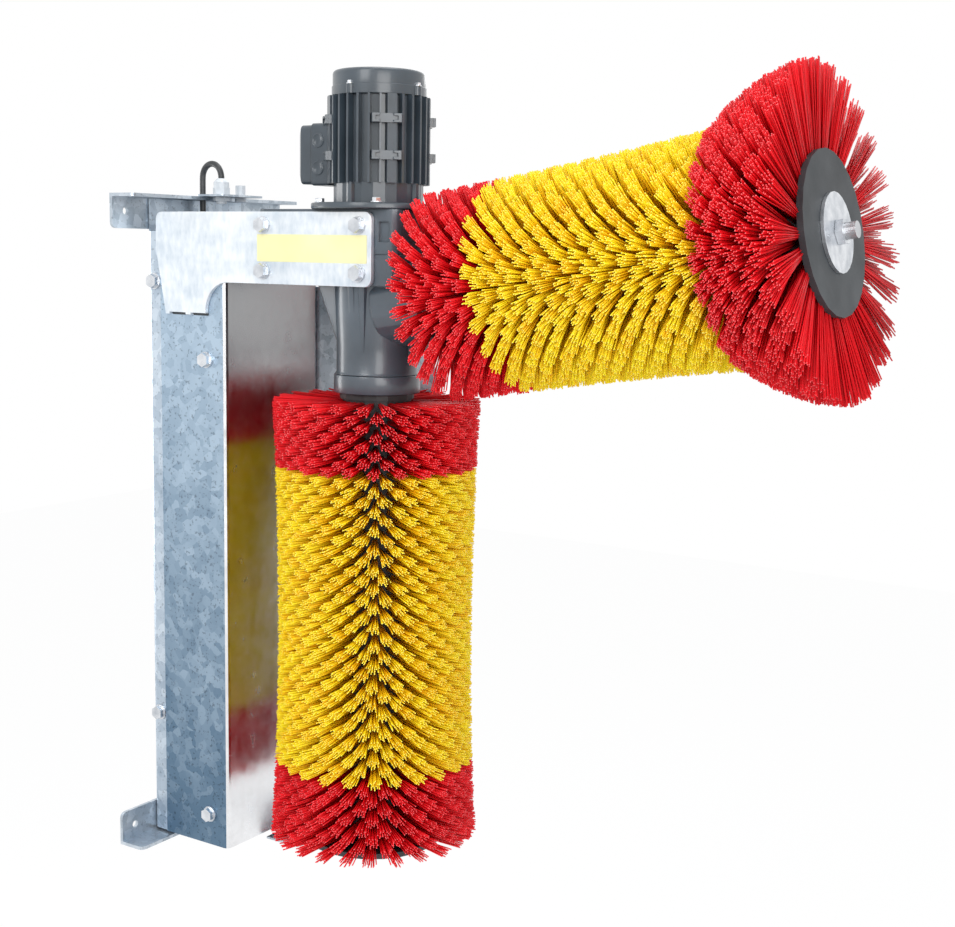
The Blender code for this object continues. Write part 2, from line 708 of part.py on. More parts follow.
def smooth_route(points, count):
    """Even steps along a smooth curve through the given points."""
    knots = [Vector(p) for p in points]
    ends = [2 * knots[0] - knots[1], *knots, 2 * knots[-1] - knots[-2]]
    fine = []
    for i in range(1, len(ends) - 2):
        a, b, c, d = ends[i - 1:i + 3]
        for step in range(count):
            t = step / count
            spot = 2 * b + (c - a) * t + (2 * a - 5 * b + 4 * c - d) * t ** 2
            fine.append((spot + (3 * b - a - 3 * c + d) * t ** 3) / 2)
    fine.append(knots[-1])
    lengths = [0.0]
    for a, b in zip(fine, fine[1:]):
        lengths.append(lengths[-1] + (b - a).length)
    route = []
    spot = 0
    for step in range(count + 1):
        goal = lengths[-1] * step / count
        while spot < len(fine) - 2 and lengths[spot + 1] < goal:
            spot += 1
        share = (goal - lengths[spot]) / max(lengths[spot + 1] - lengths[spot], WELD)
        route.append(fine[spot].lerp(fine[spot + 1], share))
    return route


def build_cable():
    route = smooth_route(CABLE_ROUTE, CABLE_STEPS)
    curve = bpy.data.curves.new("power_cable", "CURVE")
    curve.dimensions = "3D"
    curve.bevel_depth = CABLE_R
    curve.bevel_resolution = CABLE_SIDES
    curve.use_fill_caps = True
    spline = curve.splines.new("POLY")
    spline.points.add(len(route) - 1)
    for point, spot in zip(spline.points, route):
        point.co = (*spot, 1)
    curve.materials.append(material("power_cable", BLACK))
    cable = bpy.data.objects.new("power_cable", curve)
    bpy.context.scene.collection.objects.link(cable)


def build_upper_case():
    half = ARM_INNER_Y - SEAT
    r = CASE_CORNER
    outline = rounded([
        (CASE_BACK_X, -half, r), (CASE_FRONT_X, -half, r), (CASE_FRONT_X, half, r), (CASE_BACK_X, half, r),
    ])
    case = extruded("upper_gear_case", outline, CASE_SPLIT_Z, CASE_TOP_Z, "Z", PAINT)
    inner = half - CASE_WALL
    r = CASE_CORNER - CASE_WALL
    back = CASE_BACK_X + CASE_WALL
    front = CASE_FRONT_X - CASE_WALL
    outline = rounded([(back, -inner, r), (front, -inner, r), (front, inner, r), (back, inner, r)])
    cut(case, extruded("case_cavity", outline, CASE_SPLIT_Z - OVERRUN, CASE_TOP_Z - CASE_ROOF, "Z"))
    low = CASE_TOP_Z - CASE_ROOF - OVERRUN
    cut(case, rod("case_roof_hole", CASE_ROOF_HOLE_R, low, CASE_TOP_Z + OVERRUN, at=(MOTOR_X, 0, 0)))
    case_bolt_holes(case, "upper")
    middle = (CASE_TOP_Z + CASE_SPLIT_Z) / 2
    low = (CASE_POCKET_X, -half - OVERRUN, middle - CASE_POCKET_H / 2)
    high = (CASE_POCKET_X + CASE_POCKET_W, -half + CASE_POCKET_DEPTH, middle + CASE_POCKET_H / 2)
    cut(case, block("case_pocket", low, high))
    axle = (layshaft_x(), 0, 0)
    roof = CASE_TOP_Z - CASE_ROOF
    high = roof + AXLE_SINK + SEAT
    cut(case, rod("case_axle_seat", AXLE_R + SEAT, roof - OVERRUN, high, sides=COARSE, at=axle))


def case_bolt_holes(case, level):
    half = ARM_INNER_Y - SEAT
    for side in (-1, 1):
        for spot, x, z in arm_bolt_spots():
            if spot.endswith(level):
                tool = f"case_{side}_{spot}_hole"
                hole_for_bolt(case, tool, (x, side * half, z), (0, -side, 0), ARM_BOLT_REACH + SEAT)


def layshaft_x():
    return MOTOR_X - MODULE * (WHEEL_TEETH + PINION_TEETH) / 2


def neck_ribs(case):
    """Webs that stiffen the neck under the case, thinning out downwards."""
    start = (NECK_R + NECK_BORE_R) / 2
    for angle in RIB_ANGLES:
        reach = RIB_SIDE_R if angle in (90, 270) else RIB_R
        outline = [
            (start, CASE_BOTTOM_Z + JOIN), (reach, CASE_BOTTOM_Z + JOIN), (reach, CASE_BOTTOM_Z - JOIN),
            (NECK_R - RIB_SINK, NECK_TAPER_Z), (start, NECK_TAPER_Z),
        ]
        rib = extruded(f"neck_rib_{angle}", outline, -RIB_T / 2, RIB_T / 2, "Y")
        turn = Matrix.Translation((MOTOR_X, 0, 0)) @ Matrix.Rotation(math.radians(angle), 4, "Z")
        rib.data.transform(turn)
        fuse(case, rib)


def boss_gusset(case):
    """A web between the neck and the underside of the side shaft's boss."""
    start = MOTOR_X + (NECK_R + NECK_BORE_R) / 2
    skin = MOTOR_X + NECK_R - RIB_SINK
    tip = MOTOR_X + GUSSET_REACH
    high = GUSSET_TIP_Z + OVERRUN
    outline = [(start, GUSSET_LOW_Z), (skin, GUSSET_LOW_Z), (tip, GUSSET_TIP_Z), (tip, high), (start, high)]
    fuse(case, extruded("boss_gusset", outline, -RIB_T / 2, RIB_T / 2, "Y"))


def build_lower_case(side_axis):
    """Deep block between the arms, tapered neck with ribs, and the side shaft's boss, cast in one."""
    half = ARM_INNER_Y - SEAT
    top = CASE_SPLIT_Z - SEAT
    r = CASE_CORNER
    outline = rounded([
        (CASE_BACK_X, -half, r), (CASE_FRONT_X, -half, r), (CASE_FRONT_X, half, r), (CASE_BACK_X, half, r),
    ])
    case = extruded("lower_gear_case", outline, CASE_BOTTOM_Z, top, "Z", PAINT)
    neck = turned("neck", [
        (0, CASE_BOTTOM_Z + JOIN), (NECK_TOP_R, CASE_BOTTOM_Z + JOIN),
        (NECK_R, NECK_TAPER_Z), (NECK_R, NECK_BOTTOM_Z), (0, NECK_BOTTOM_Z),
    ], at=(MOTOR_X, 0, 0))
    fuse(case, neck)
    neck_ribs(case)
    boss_gusset(case)
    boss = rod("side_boss", SIDE_BOSS_R, SIDE_BOSS_START, SIDE_BOSS_END, parent=side_axis)
    fuse(case, boss)
    floor = NECK_BORE_END_Z
    bore = turned("neck_bore", [
        (0, top + OVERRUN), (NECK_BORE_R, top + OVERRUN), (NECK_BORE_R, floor),
        (OUTPUT_BEARING_R + SEAT, floor), (OUTPUT_BEARING_R + SEAT, NECK_BOTTOM_Z - OVERRUN),
        (0, NECK_BOTTOM_Z - OVERRUN),
    ], at=(MOTOR_X, 0, 0))
    side = turned("side_bore", [
        (0, 0), (SIDE_BORE_R, 0), (SIDE_BORE_R, SIDE_BORE_END), (OUTPUT_BEARING_R + SEAT, SIDE_BORE_END),
        (OUTPUT_BEARING_R + SEAT, SIDE_BOSS_END + OVERRUN), (0, SIDE_BOSS_END + OVERRUN),
    ], parent=side_axis)
    cut(case, bore, side)
    inner = half - CASE_WALL
    back = CASE_BACK_X + CASE_WALL
    low = (back, -inner, CASE_BOTTOM_Z + CASE_WALL)
    cut(case, block("case_sump", low, (MOTOR_X - NECK_R, inner, top + OVERRUN)))
    case_bolt_holes(case, "lower")


def build_case_trim(side_axis):
    collar_top = NECK_BOTTOM_Z - SEAT
    ring(
        "output_bearing_cap", CAP_HOLE_R, COLLAR_R, collar_top - COLLAR_H, collar_top, PAINT,
        at=(MOTOR_X, 0, 0),
    )
    low = SIDE_BOSS_END + SEAT
    ring("side_bearing_cap", CAP_HOLE_R, SIDE_CAP_R, low, low + SIDE_CAP_H, PAINT, side_axis)
    flange_z = CASE_TOP_Z + SEAT
    turned("input_flange", [
        (FLANGE_HOLE_R, flange_z), (FLANGE_R - FLANGE_CHAMFER, flange_z),
        (FLANGE_R, flange_z + FLANGE_CHAMFER), (FLANGE_R, flange_z + FLANGE_T - FLANGE_CHAMFER),
        (FLANGE_R - FLANGE_CHAMFER, flange_z + FLANGE_T), (FLANGE_HOLE_R, flange_z + FLANGE_T),
    ], PAINT, at=(MOTOR_X, 0, 0))

    half = ARM_INNER_Y - SEAT - CASE_WALL - SEAT
    low = (CASE_BACK_X + CASE_WALL + SEAT, -half, CARRIER_TOP_Z - CARRIER_T)
    high = (CASE_FRONT_X - CASE_WALL - SEAT, half, CARRIER_TOP_Z)
    r = CASE_CORNER - CASE_WALL
    outline = rounded([(low[0], -half, r), (high[0], -half, r), (high[0], half, r), (low[0], half, r)])
    carrier = extruded("bearing_carrier", outline, low[2], high[2], "Z", STEEL)
    low_z, high_z = low[2] - OVERRUN, high[2] + OVERRUN
    cut(carrier, rod("carrier_bearing_seat", CARRIER_BEARING_R + SEAT, low_z, high_z, at=(MOTOR_X, 0, 0)))
    at = (layshaft_x(), 0, 0)
    cut(carrier, rod("carrier_axle_seat", AXLE_R + SEAT, low_z, high_z, sides=COARSE, at=at))


def spur_outline(teeth, phase, points_per_flank):
    """Outline of an involute spur gear; phase turns it by a share of a tooth pitch."""
    pitch_r = MODULE * teeth / 2
    base_r = pitch_r * math.cos(PRESSURE)
    tip_r = pitch_r + MODULE
    root_r = pitch_r - MODULE * ROOT_SHARE

    def half_angle(radius):
        slope = math.acos(min(1.0, base_r / max(radius, base_r)))
        shrink = math.tan(slope) - slope - (math.tan(PRESSURE) - PRESSURE)
        return math.pi / (2 * teeth) - shrink - BACKLASH / (2 * pitch_r)

    radii = [root_r + (tip_r - root_r) * i / (points_per_flank - 1) for i in range(points_per_flank)]
    flank = [(radius, half_angle(radius)) for radius in radii]
    points = []
    for tooth in range(teeth):
        middle = math.tau * (tooth + phase) / teeth
        for radius, half in flank:
            points.append((radius * math.cos(middle - half), radius * math.sin(middle - half)))
        for radius, half in reversed(flank):
            points.append((radius * math.cos(middle + half), radius * math.sin(middle + half)))
    return points


def build_spur_gears(rotor_axis, layshaft_axis, brush_axis):
    """Motor pinion, compound gear on its axle, and output wheel."""
    low, high = FIRST_STAGE_Z, FIRST_STAGE_Z + GEAR_WIDTH
    pinion = extruded("motor_pinion", spur_outline(PINION_TEETH, 0, 3), low, high, "Z", None, rotor_axis)

    compound = extruded(
        "compound_gear", spur_outline(WHEEL_TEETH, 0.5, 2), low, high, "Z", STEEL, layshaft_axis
    )
    lower = SECOND_STAGE_Z
    teeth = spur_outline(PINION_TEETH, 0, 3)
    small = extruded("compound_pinion", teeth, lower, low + JOIN, "Z", None, layshaft_axis)
    fuse(compound, small)
    bore = rod("compound_bore", AXLE_R + RUN, lower - OVERRUN, high + OVERRUN, None, layshaft_axis, COARSE)
    cut(compound, bore)
    roof = CASE_TOP_Z - CASE_ROOF
    rod(
        "compound_axle", AXLE_R, CARRIER_TOP_Z - AXLE_SINK, roof + AXLE_SINK, STEEL,
        sides=COARSE, at=(layshaft_x(), 0, 0),
    )

    top = SECOND_STAGE_Z + GEAR_WIDTH
    wheel = extruded("output_wheel", spur_outline(WHEEL_TEETH, 0.5, 2), lower, top, "Z", STEEL, brush_axis)
    cut(wheel, rod("wheel_bore", SHAFT_R + SEAT, lower - OVERRUN, top + OVERRUN, None, brush_axis, MEDIUM))
    return pinion


def bevel_gear(name, parent, phase):
    """A straight bevel gear: one toothed section, shrunk towards the point where the shafts meet."""
    cone = (math.pi / 2 - SIDE_TILT) / 2
    module = 2 * BEVEL_R / BEVEL_TEETH
    back = BEVEL_R / math.tan(cone)
    flank = []
    for height in (BEVEL_ROOT * module, 0.0, BEVEL_TIP * module):
        radius = BEVEL_R + height * math.cos(cone)
        depth = back - height * math.sin(cone)
        half = module * math.pi / 4 - height * math.tan(PRESSURE) - BEVEL_BACKLASH / 2
        flank.append((radius * back / depth, half * back / depth))
    section = []
    for tooth in range(BEVEL_TEETH):
        middle = math.tau * (tooth + phase) / BEVEL_TEETH
        for radius, half in flank:
            section.append((radius, middle - half / radius))
        for radius, half in reversed(flank):
            section.append((radius, middle + half / radius))
    bm = bmesh.new()
    rings = []
    for share in (1 - BEVEL_DEPTH_SHARE, 1.0):
        scaled = [(share * r, a) for r, a in section]
        rings.append([bm.verts.new((r * math.cos(a), r * math.sin(a), share * back)) for r, a in scaled])
    bm.faces.new(rings[0])
    bm.faces.new(rings[1])
    count = len(section)
    for i in range(count):
        j = (i + 1) % count
        bm.faces.new((rings[0][i], rings[0][j], rings[1][j], rings[1][i]))
    gear = place(name, bm, STEEL, parent)
    hub = rod(f"{name}_hub", BEVEL_HUB_R, back - JOIN, back + BEVEL_HUB_H, None, parent, MEDIUM)
    fuse(gear, hub)
    low = back * (1 - BEVEL_DEPTH_SHARE) - OVERRUN
    bore = rod(f"{name}_bore", SHAFT_R + SEAT, low, back + BEVEL_HUB_H + OVERRUN, None, parent, MEDIUM)
    cut(gear, bore)
    return back


def ear_spot(angle, radius):
    turn = math.radians(angle)
    return (MOTOR_X + radius * math.cos(turn), radius * math.sin(turn), 0)


def foot_pads(frame, low):
    """Bosses for bolt-on feet, two at each corner, across the broad fin there."""
    inner, outer = (FIN_ROOT_R + MOTOR_BORE_R) / 2, FIN_R + PAD_PROUD
    for angle in PAD_ANGLES:
        turn = Matrix.Translation((MOTOR_X, 0, 0)) @ Matrix.Rotation(math.radians(angle), 4, "Z")
        for level, height in enumerate(PAD_LEVELS):
            foot = low + height - PAD_H / 2
            low_corner, high_corner = (inner, -PAD_HALF_W, foot), (outer, PAD_HALF_W, foot + PAD_H)
            pad = block(f"pad_{angle}_{level}", low_corner, high_corner)
            pad.data.transform(turn)
            fuse(frame, pad)


def build_motor(rotor_axis, pinion):
    at = (MOTOR_X, 0, 0)
    base = CASE_TOP_Z + SEAT + FLANGE_T + SEAT
    fins_low = base + MOTOR_NECK_H
    fins_high = fins_low + FIN_H
    outline = []
    for fin in range(FIN_COUNT):
        middle = math.tau * fin / FIN_COUNT
        broad = fin % (FIN_COUNT // len(PAD_ANGLES)) == BROAD_FIN
        half = (BROAD_FIN_T if broad else FIN_T) / 2
        half_tip, half_root = half / FIN_R, half / FIN_ROOT_R
        for radius, angle in (
            (FIN_ROOT_R, middle - half_root), (FIN_R, middle - half_tip),
            (FIN_R, middle + half_tip), (FIN_ROOT_R, middle + half_root),
        ):
            outline.append((MOTOR_X + radius * math.cos(angle), radius * math.sin(angle)))
    frame = extruded("motor_frame", outline, fins_low, fins_high, "Z", PAINT)
    fuse(frame, rod("motor_neck", MOTOR_NECK_R, base, fins_low + JOIN, at=at))
    for angle in EAR_ANGLES:
        spot = ear_spot(angle, MOTOR_NECK_R)
        fuse(frame, rod(f"neck_post_{angle}", EAR_R, base, fins_low + JOIN, sides=EAR_SIDES, at=spot))
    foot_pads(frame, fins_low)
    seat = base + MOTOR_FLOOR
    bore = turned("motor_bore", [
        (0, base - OVERRUN), (FLANGE_HOLE_R, base - OVERRUN), (FLANGE_HOLE_R, seat),
        (MOTOR_BEARING_R + SEAT, seat), (MOTOR_BEARING_R + SEAT, seat + MOTOR_BEARING_H),
        (MOTOR_BORE_R, seat + MOTOR_BEARING_H), (MOTOR_BORE_R, fins_high + OVERRUN),
        (0, fins_high + OVERRUN),
    ], at=at)
    half_box = BOX_WIDTH / 2 + SEAT
    box_x = MOTOR_X - BOX_INNER_X + SEAT
    room = block(
        "terminal_box_room",
        (MOTOR_X - FIN_R - OVERRUN, -half_box, BOX_BOTTOM_Z - SEAT),
        (box_x, half_box, BOX_BOTTOM_Z + BOX_HEIGHT + SEAT),
    )
    cut(frame, bore, room)

    low = fins_high + SEAT
    top = low + END_CAP_H
    roof = top - END_CAP_WALL
    bearing_top = roof - END_CAP_WALL
    bearing_low = bearing_top - MOTOR_BEARING_H
    wall = MOTOR_BEARING_R + END_CAP_WALL
    band = END_CAP_R - END_CAP_RIM_T
    cap = turned("motor_end_cap", [
        (0, top), (band - END_CAP_EDGE, top), (band, top - END_CAP_EDGE), (band, low + END_CAP_RIM_H),
        (END_CAP_R, low + END_CAP_RIM_H), (END_CAP_R, low), (END_CAP_R - END_CAP_WALL, low),
        (END_CAP_R - END_CAP_WALL, roof), (wall, roof), (wall, bearing_low),
        (MOTOR_BEARING_R + SEAT, bearing_low), (MOTOR_BEARING_R + SEAT, bearing_top), (0, bearing_top),
    ], PAINT, at=at)
    for angle in EAR_ANGLES:
        spot = ear_spot(angle, END_CAP_R)
        fuse(cap, rod(f"cap_ear_{angle}", EAR_R, low, low + EAR_H, sides=EAR_SIDES, at=spot))
    inner = MOTOR_SHAFT_R + RUN
    for name, start, end in (
        ("motor_bearing_upper", bearing_low, bearing_top - SEAT),
        ("motor_bearing_lower", seat + SEAT, seat + MOTOR_BEARING_H),
    ):
        ring(name, inner, MOTOR_BEARING_R, start, end, STEEL, sides=MEDIUM, at=at)
    middle = (fins_low + fins_high) / 2
    outer = MOTOR_BORE_R - SEAT
    low, high = middle - STATOR_H / 2, middle + STATOR_H / 2
    ring("motor_stator", outer - STATOR_T, outer, low, high, COPPER, at=at)
    root_r = MODULE * (PINION_TEETH / 2 - ROOT_SHARE)
    rotor = turned("motor_rotor", [
        (0, FIRST_STAGE_Z), (root_r - SEAT, FIRST_STAGE_Z),
        (root_r - SEAT, FIRST_STAGE_Z + GEAR_WIDTH + JOIN),
        (MOTOR_SHAFT_R, base), (MOTOR_SHAFT_R, middle - ROTOR_H / 2), (ROTOR_R, middle - ROTOR_H / 2),
        (ROTOR_R, middle + ROTOR_H / 2), (MOTOR_SHAFT_R, middle + ROTOR_H / 2),
        (MOTOR_SHAFT_R, bearing_top - SEAT - SEAT), (0, bearing_top - SEAT - SEAT),
    ], STEEL, rotor_axis, MEDIUM)
    fuse(rotor, pinion)


def build_terminal_box():
    half = BOX_WIDTH / 2
    inner_x = MOTOR_X - BOX_INNER_X
    outer_x = inner_x - BOX_DEPTH
    low, high = BOX_BOTTOM_Z, BOX_BOTTOM_Z + BOX_HEIGHT
    r = BOX_CORNER
    outline = rounded([(-half, low, r), (half, low, r), (half, high, r), (-half, high, r)])
    box = extruded("terminal_box", outline, outer_x, inner_x, "X", PAINT)
    w = BOX_WALL
    r = BOX_CORNER - BOX_WALL
    hollow = rounded([
        (w - half, low + w, r), (half - w, low + w, r), (half - w, high - w, r), (w - half, high - w, r),
    ])
    cut(box, extruded("box_hollow", hollow, outer_x - OVERRUN, inner_x - BOX_WALL, "X"))
    middle_x = (inner_x + outer_x) / 2
    middle_z = (low + high) / 2
    for label, sign in (("upper", 1), ("lower", -1)):
        z = middle_z + sign * KNOCKOUT_STEP / 2
        start, end = (middle_x, -half - OVERRUN, z), (middle_x, KNOCKOUT_DEPTH - half, z)
        cut(box, bar_along(f"knockout_{label}", KNOCKOUT_R, start, end))

    face_x = outer_x - SEAT
    lid = extruded("terminal_box_lid", outline, face_x - LID_DEPTH, face_x, "X", PAINT)
    bm = bmesh.new()
    bm.from_mesh(lid.data)
    limit = face_x - LID_DEPTH + WELD
    rim = [edge for edge in bm.edges if all(vert.co.x < limit for vert in edge.verts)]
    bmesh.ops.bevel(bm, geom=rim, offset=LID_CHAMFER, segments=1, affect="EDGES", profile=0.5)
    bm.to_mesh(lid.data)
    bm.free()
    start = face_x - LID_DEPTH + LID_CHAMFER + BOX_WALL
    cut(lid, extruded("lid_hollow", hollow, start, face_x + OVERRUN, "X"))


def build_shafts(brush_axis, side_axis, bevel_back):
    """Each shaft is one turned bar from its gear to the threaded stud beyond its brush."""
    low = BRUSH_TOP_Z - BRUSH_LENGTH
    stud_low = low - STUD_LENGTH - DISC_T
    top = SECOND_STAGE_Z + GEAR_WIDTH + JOIN
    turned("vertical_shaft", [
        (0, stud_low), (STUD_R, stud_low), (STUD_R, low + CORE_PLATE), (SHAFT_R, low + CORE_PLATE),
        (SHAFT_R, top), (0, top),
    ], STEEL, brush_axis, MEDIUM)
    start = bevel_back * (1 - BEVEL_DEPTH_SHARE)
    end = SIDE_BRUSH_END
    stud_end = end + STUD_LENGTH + DISC_T
    turned("side_shaft", [
        (0, start), (SHAFT_R, start), (SHAFT_R, end - CORE_PLATE), (STUD_R, end - CORE_PLATE),
        (STUD_R, stud_end), (0, stud_end),
    ], STEEL, side_axis, MEDIUM)

    bore = SHAFT_R + RUN
    at = (MOTOR_X, 0, 0)
    high = CARRIER_TOP_Z + (BEARING_H - CARRIER_T) / 2
    ring("upper_shaft_bearing", bore, CARRIER_BEARING_R, high - BEARING_H, high, STEEL, sides=MEDIUM, at=at)
    low = NECK_BOTTOM_Z + SEAT
    ring("lower_shaft_bearing", bore, OUTPUT_BEARING_R, low, low + BEARING_H, STEEL, sides=MEDIUM, at=at)
    high = SIDE_BOSS_END - SEAT
    ring("side_shaft_bearing", bore, OUTPUT_BEARING_R, high - BEARING_H, high, STEEL, side_axis, MEDIUM)


def brush_core(name, start, end, parent, towards):
    """A plastic tube with an end plate and a hub collar on its gear case side."""
    bore = SHAFT_R + SEAT
    inner = CORE_R - CORE_WALL
    collar = start - towards * HUB_COLLAR_H
    plate = start + towards * CORE_PLATE
    profile = [
        (bore, collar), (HUB_COLLAR_R, collar), (HUB_COLLAR_R, start), (CORE_R, start),
        (CORE_R, end), (inner, end), (inner, plate), (bore, plate),
    ]
    turned(name, profile, BLACK, parent, MEDIUM)


def bristle_band(name, low, high, radius_at, finish, parent, tail=0.0):
    """A sleeve of bristles, fluted between the slanting rows of its tufts.

    Each ring of tufts sits half a pitch round from the last, so the rows climb like a
    screw. A band holds an even number of rings: its rows start and end at one angle, and
    they meet those of the next band. The tail leans the outer edge past the end disc.
    """
    pitch = math.tau / TUFTS_AROUND
    pitches = max(1, round((high - low) / (2 * RING_STEP)))
    spans = max(2, round(pitches / PITCHES_PER_SPAN))
    inner = (CORE_R + SEAT) / math.cos(pitch / 2)
    half_row = ROW_SHARE * pitch / 2
    bm = bmesh.new()

    def circle(radius, height, angle):
        turns = [angle + k * pitch for k in range(TUFTS_AROUND)]
        return [bm.verts.new((radius * math.cos(turn), radius * math.sin(turn), height)) for turn in turns]

    def join(first, second, shift_first=0, shift_second=0):
        for k in range(TUFTS_AROUND):
            a, b = (k + shift_first) % TUFTS_AROUND, (k + shift_second) % TUFTS_AROUND
            c, d = (a + 1) % TUFTS_AROUND, (b + 1) % TUFTS_AROUND
            bm.faces.new((first[a], first[c], second[d], second[b]))

    levels = []
    for step in range(spans + 1):
        share = step / spans
        height = low + (high - low) * share
        radius = radius_at(height)
        lean = tail if step == spans else 0.0
        floor = radius - FLUTE_DEPTH
        angle = share * pitches * pitch
        levels.append((
            circle(floor, height + lean * floor / radius, angle - pitch / 2),
            circle(radius, height + lean, angle - half_row),
            circle(radius, height + lean, angle + half_row),
        ))
    for (floor, left, right), (next_floor, next_left, next_right) in zip(levels, levels[1:]):
        for k in range(TUFTS_AROUND):
            j = (k + 1) % TUFTS_AROUND
            bm.faces.new((floor[k], left[k], next_left[k], next_floor[k]))
            bm.faces.new((left[k], right[k], next_right[k], next_left[k]))
            bm.faces.new((right[k], floor[j], next_floor[j], next_right[k]))
    ends = []
    for height, (floor, left, right), step in ((low, levels[0], 0), (high, levels[-1], pitches)):
        angle = -pitch / 2
        rim = circle(inner, height, angle)
        outer = rim
        if tail and step:
            outer = circle(DISC_R + SEAT, height, angle)
            join(rim, outer)
        join(outer, floor, step % TUFTS_AROUND, 0)
        for k in range(TUFTS_AROUND):
            bm.faces.new((floor[k], left[k], right[k], floor[(k + 1) % TUFTS_AROUND]))
        ends.append(rim)
    join(*ends)
    place(name, bm, finish, parent)


def build_vertical_brush(axis):
    top, bottom = BRUSH_TOP_Z, BRUSH_TOP_Z - BRUSH_LENGTH
    brush_core("vertical_brush_core", top, bottom, axis, -1)
    middle = (top + bottom) / 2

    def radius_at(z):
        share = (z - middle) / (BRUSH_LENGTH / 2)
        end = BRUSH_TOP_R if share > 0 else BRUSH_BOTTOM_R
        return BRUSH_WAIST_R + (end - BRUSH_WAIST_R) * share ** 2

    upper = top - TOP_BAND
    lower = bottom + BOTTOM_BAND
    bristle_band("vertical_bristles_top", upper + SEAT, top - SEAT, radius_at, RED, axis)
    bristle_band("vertical_bristles_middle", lower + SEAT, upper, radius_at, YELLOW, axis)
    bristle_band("vertical_bristles_bottom", bottom, lower, radius_at, RED, axis)
    low = bottom - SEAT - DISC_T
    ring("vertical_end_disc", STUD_R + SEAT, DISC_R, low, bottom - SEAT, RUBBER, axis)
    nut_top = low - SEAT
    foot = nut_top - END_WASHER_T
    nut = ring("vertical_end_nut", STUD_R + SEAT, END_WASHER_R, foot, nut_top, ZINC, axis, MEDIUM)
    start, end = (0, 0, foot - END_NUT_H), (0, 0, foot + END_WASHER_T / 2)
    hexagon = bar_along("vertical_nut_hex", END_NUT_R, start, end, 6, None, axis)
    start = foot - END_NUT_H - OVERRUN
    core = rod("vertical_nut_bore", STUD_R + SEAT, start, nut_top + OVERRUN, None, axis, MEDIUM)
    fuse(nut, hexagon)
    cut(nut, core)


def build_side_brush(axis):
    start, end = SIDE_BRISTLE_START, SIDE_BRUSH_END
    brush_core("side_brush_core", start, end, axis, 1)
    inner = start + SIDE_INNER_BAND
    outer = end - SIDE_OUTER_BAND

    def yellow_radius(s):
        share = (s - inner) / (outer - inner)
        return SIDE_WAIST_R + (SIDE_SHOULDER_R - SIDE_WAIST_R) * share ** 3

    def inner_radius(s):
        return SIDE_INNER_R + (SIDE_WAIST_R - SIDE_INNER_R) * (s - start) / SIDE_INNER_BAND

    def outer_radius(s):
        share = (s - outer) / (end - outer)
        return SIDE_SHOULDER_R + (SIDE_FLARE_R - SIDE_SHOULDER_R) * math.sin(share * math.pi / 2)

    bristle_band("side_bristles_inner", start + SEAT, inner - SEAT, inner_radius, RED, axis)
    bristle_band("side_bristles_middle", inner, outer - SEAT, yellow_radius, YELLOW, axis)
    bristle_band("side_bristles_outer", outer, end, outer_radius, RED, axis, SIDE_FLARE_PROUD)
    low = end + SEAT
    ring("side_end_disc", STUD_R + SEAT, DISC_R, low, low + DISC_T, RUBBER, axis)
    low += DISC_T + SEAT
    ring("side_end_washer", STUD_R + SEAT, END_WASHER_R, low, low + END_WASHER_T, ZINC, axis)
    low += END_WASHER_T + SEAT
    nut = bar_along("side_end_nut", END_NUT_R, (0, 0, low), (0, 0, low + END_NUT_H), 6, ZINC, axis)
    bore = rod("side_nut_bore", STUD_R + SEAT, low - OVERRUN, low + END_NUT_H + OVERRUN, None, axis, MEDIUM)
    cut(nut, bore)


def main():
    clear_scene()
    brush_axis = empty("vertical_brush_axis", (MOTOR_X, 0, 0))
    rotor_axis = empty("motor_axis", (MOTOR_X, 0, 0))
    layshaft_axis = empty("compound_gear_axis", (layshaft_x(), 0, 0))
    side_axis = empty("side_brush_axis", (MOTOR_X, 0, CROSSING_Z), math.pi / 2 - SIDE_TILT)
    crossing_axis = empty("bevel_axis", (MOTOR_X, 0, CROSSING_Z))
    build_wall_rails()
    build_column()
    build_arms()
    build_guard()
    build_cable_entry()
    build_upper_case()
    build_lower_case(side_axis)
    build_case_trim(side_axis)
    pinion = build_spur_gears(rotor_axis, layshaft_axis, brush_axis)
    bevel_gear("vertical_bevel_gear", crossing_axis, 0)
    bevel_back = bevel_gear("side_bevel_gear", side_axis, 0.5)
    build_motor(rotor_axis, pinion)
    build_terminal_box()
    build_shafts(brush_axis, side_axis, bevel_back)
    build_vertical_brush(brush_axis)
    build_side_brush(side_axis)


main()
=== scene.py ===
"""Looks of a rotating cow brush on a wall bracket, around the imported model."""
import math
import random

import bmesh
import bpy
from mathutils import Matrix, Vector


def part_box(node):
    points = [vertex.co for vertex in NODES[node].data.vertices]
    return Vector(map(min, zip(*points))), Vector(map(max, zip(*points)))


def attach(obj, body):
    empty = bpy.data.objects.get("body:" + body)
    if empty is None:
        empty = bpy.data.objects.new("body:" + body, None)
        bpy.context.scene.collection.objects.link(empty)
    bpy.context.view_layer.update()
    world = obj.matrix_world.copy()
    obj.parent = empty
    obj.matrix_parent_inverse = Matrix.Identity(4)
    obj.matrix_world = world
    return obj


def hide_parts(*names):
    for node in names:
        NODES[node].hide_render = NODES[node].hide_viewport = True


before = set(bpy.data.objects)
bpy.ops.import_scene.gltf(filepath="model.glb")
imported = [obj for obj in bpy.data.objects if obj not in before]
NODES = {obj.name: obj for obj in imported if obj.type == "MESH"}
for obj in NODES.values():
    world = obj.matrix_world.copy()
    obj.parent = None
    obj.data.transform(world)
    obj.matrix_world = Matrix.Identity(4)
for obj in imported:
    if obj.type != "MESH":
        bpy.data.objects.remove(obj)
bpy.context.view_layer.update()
MM = 0.001

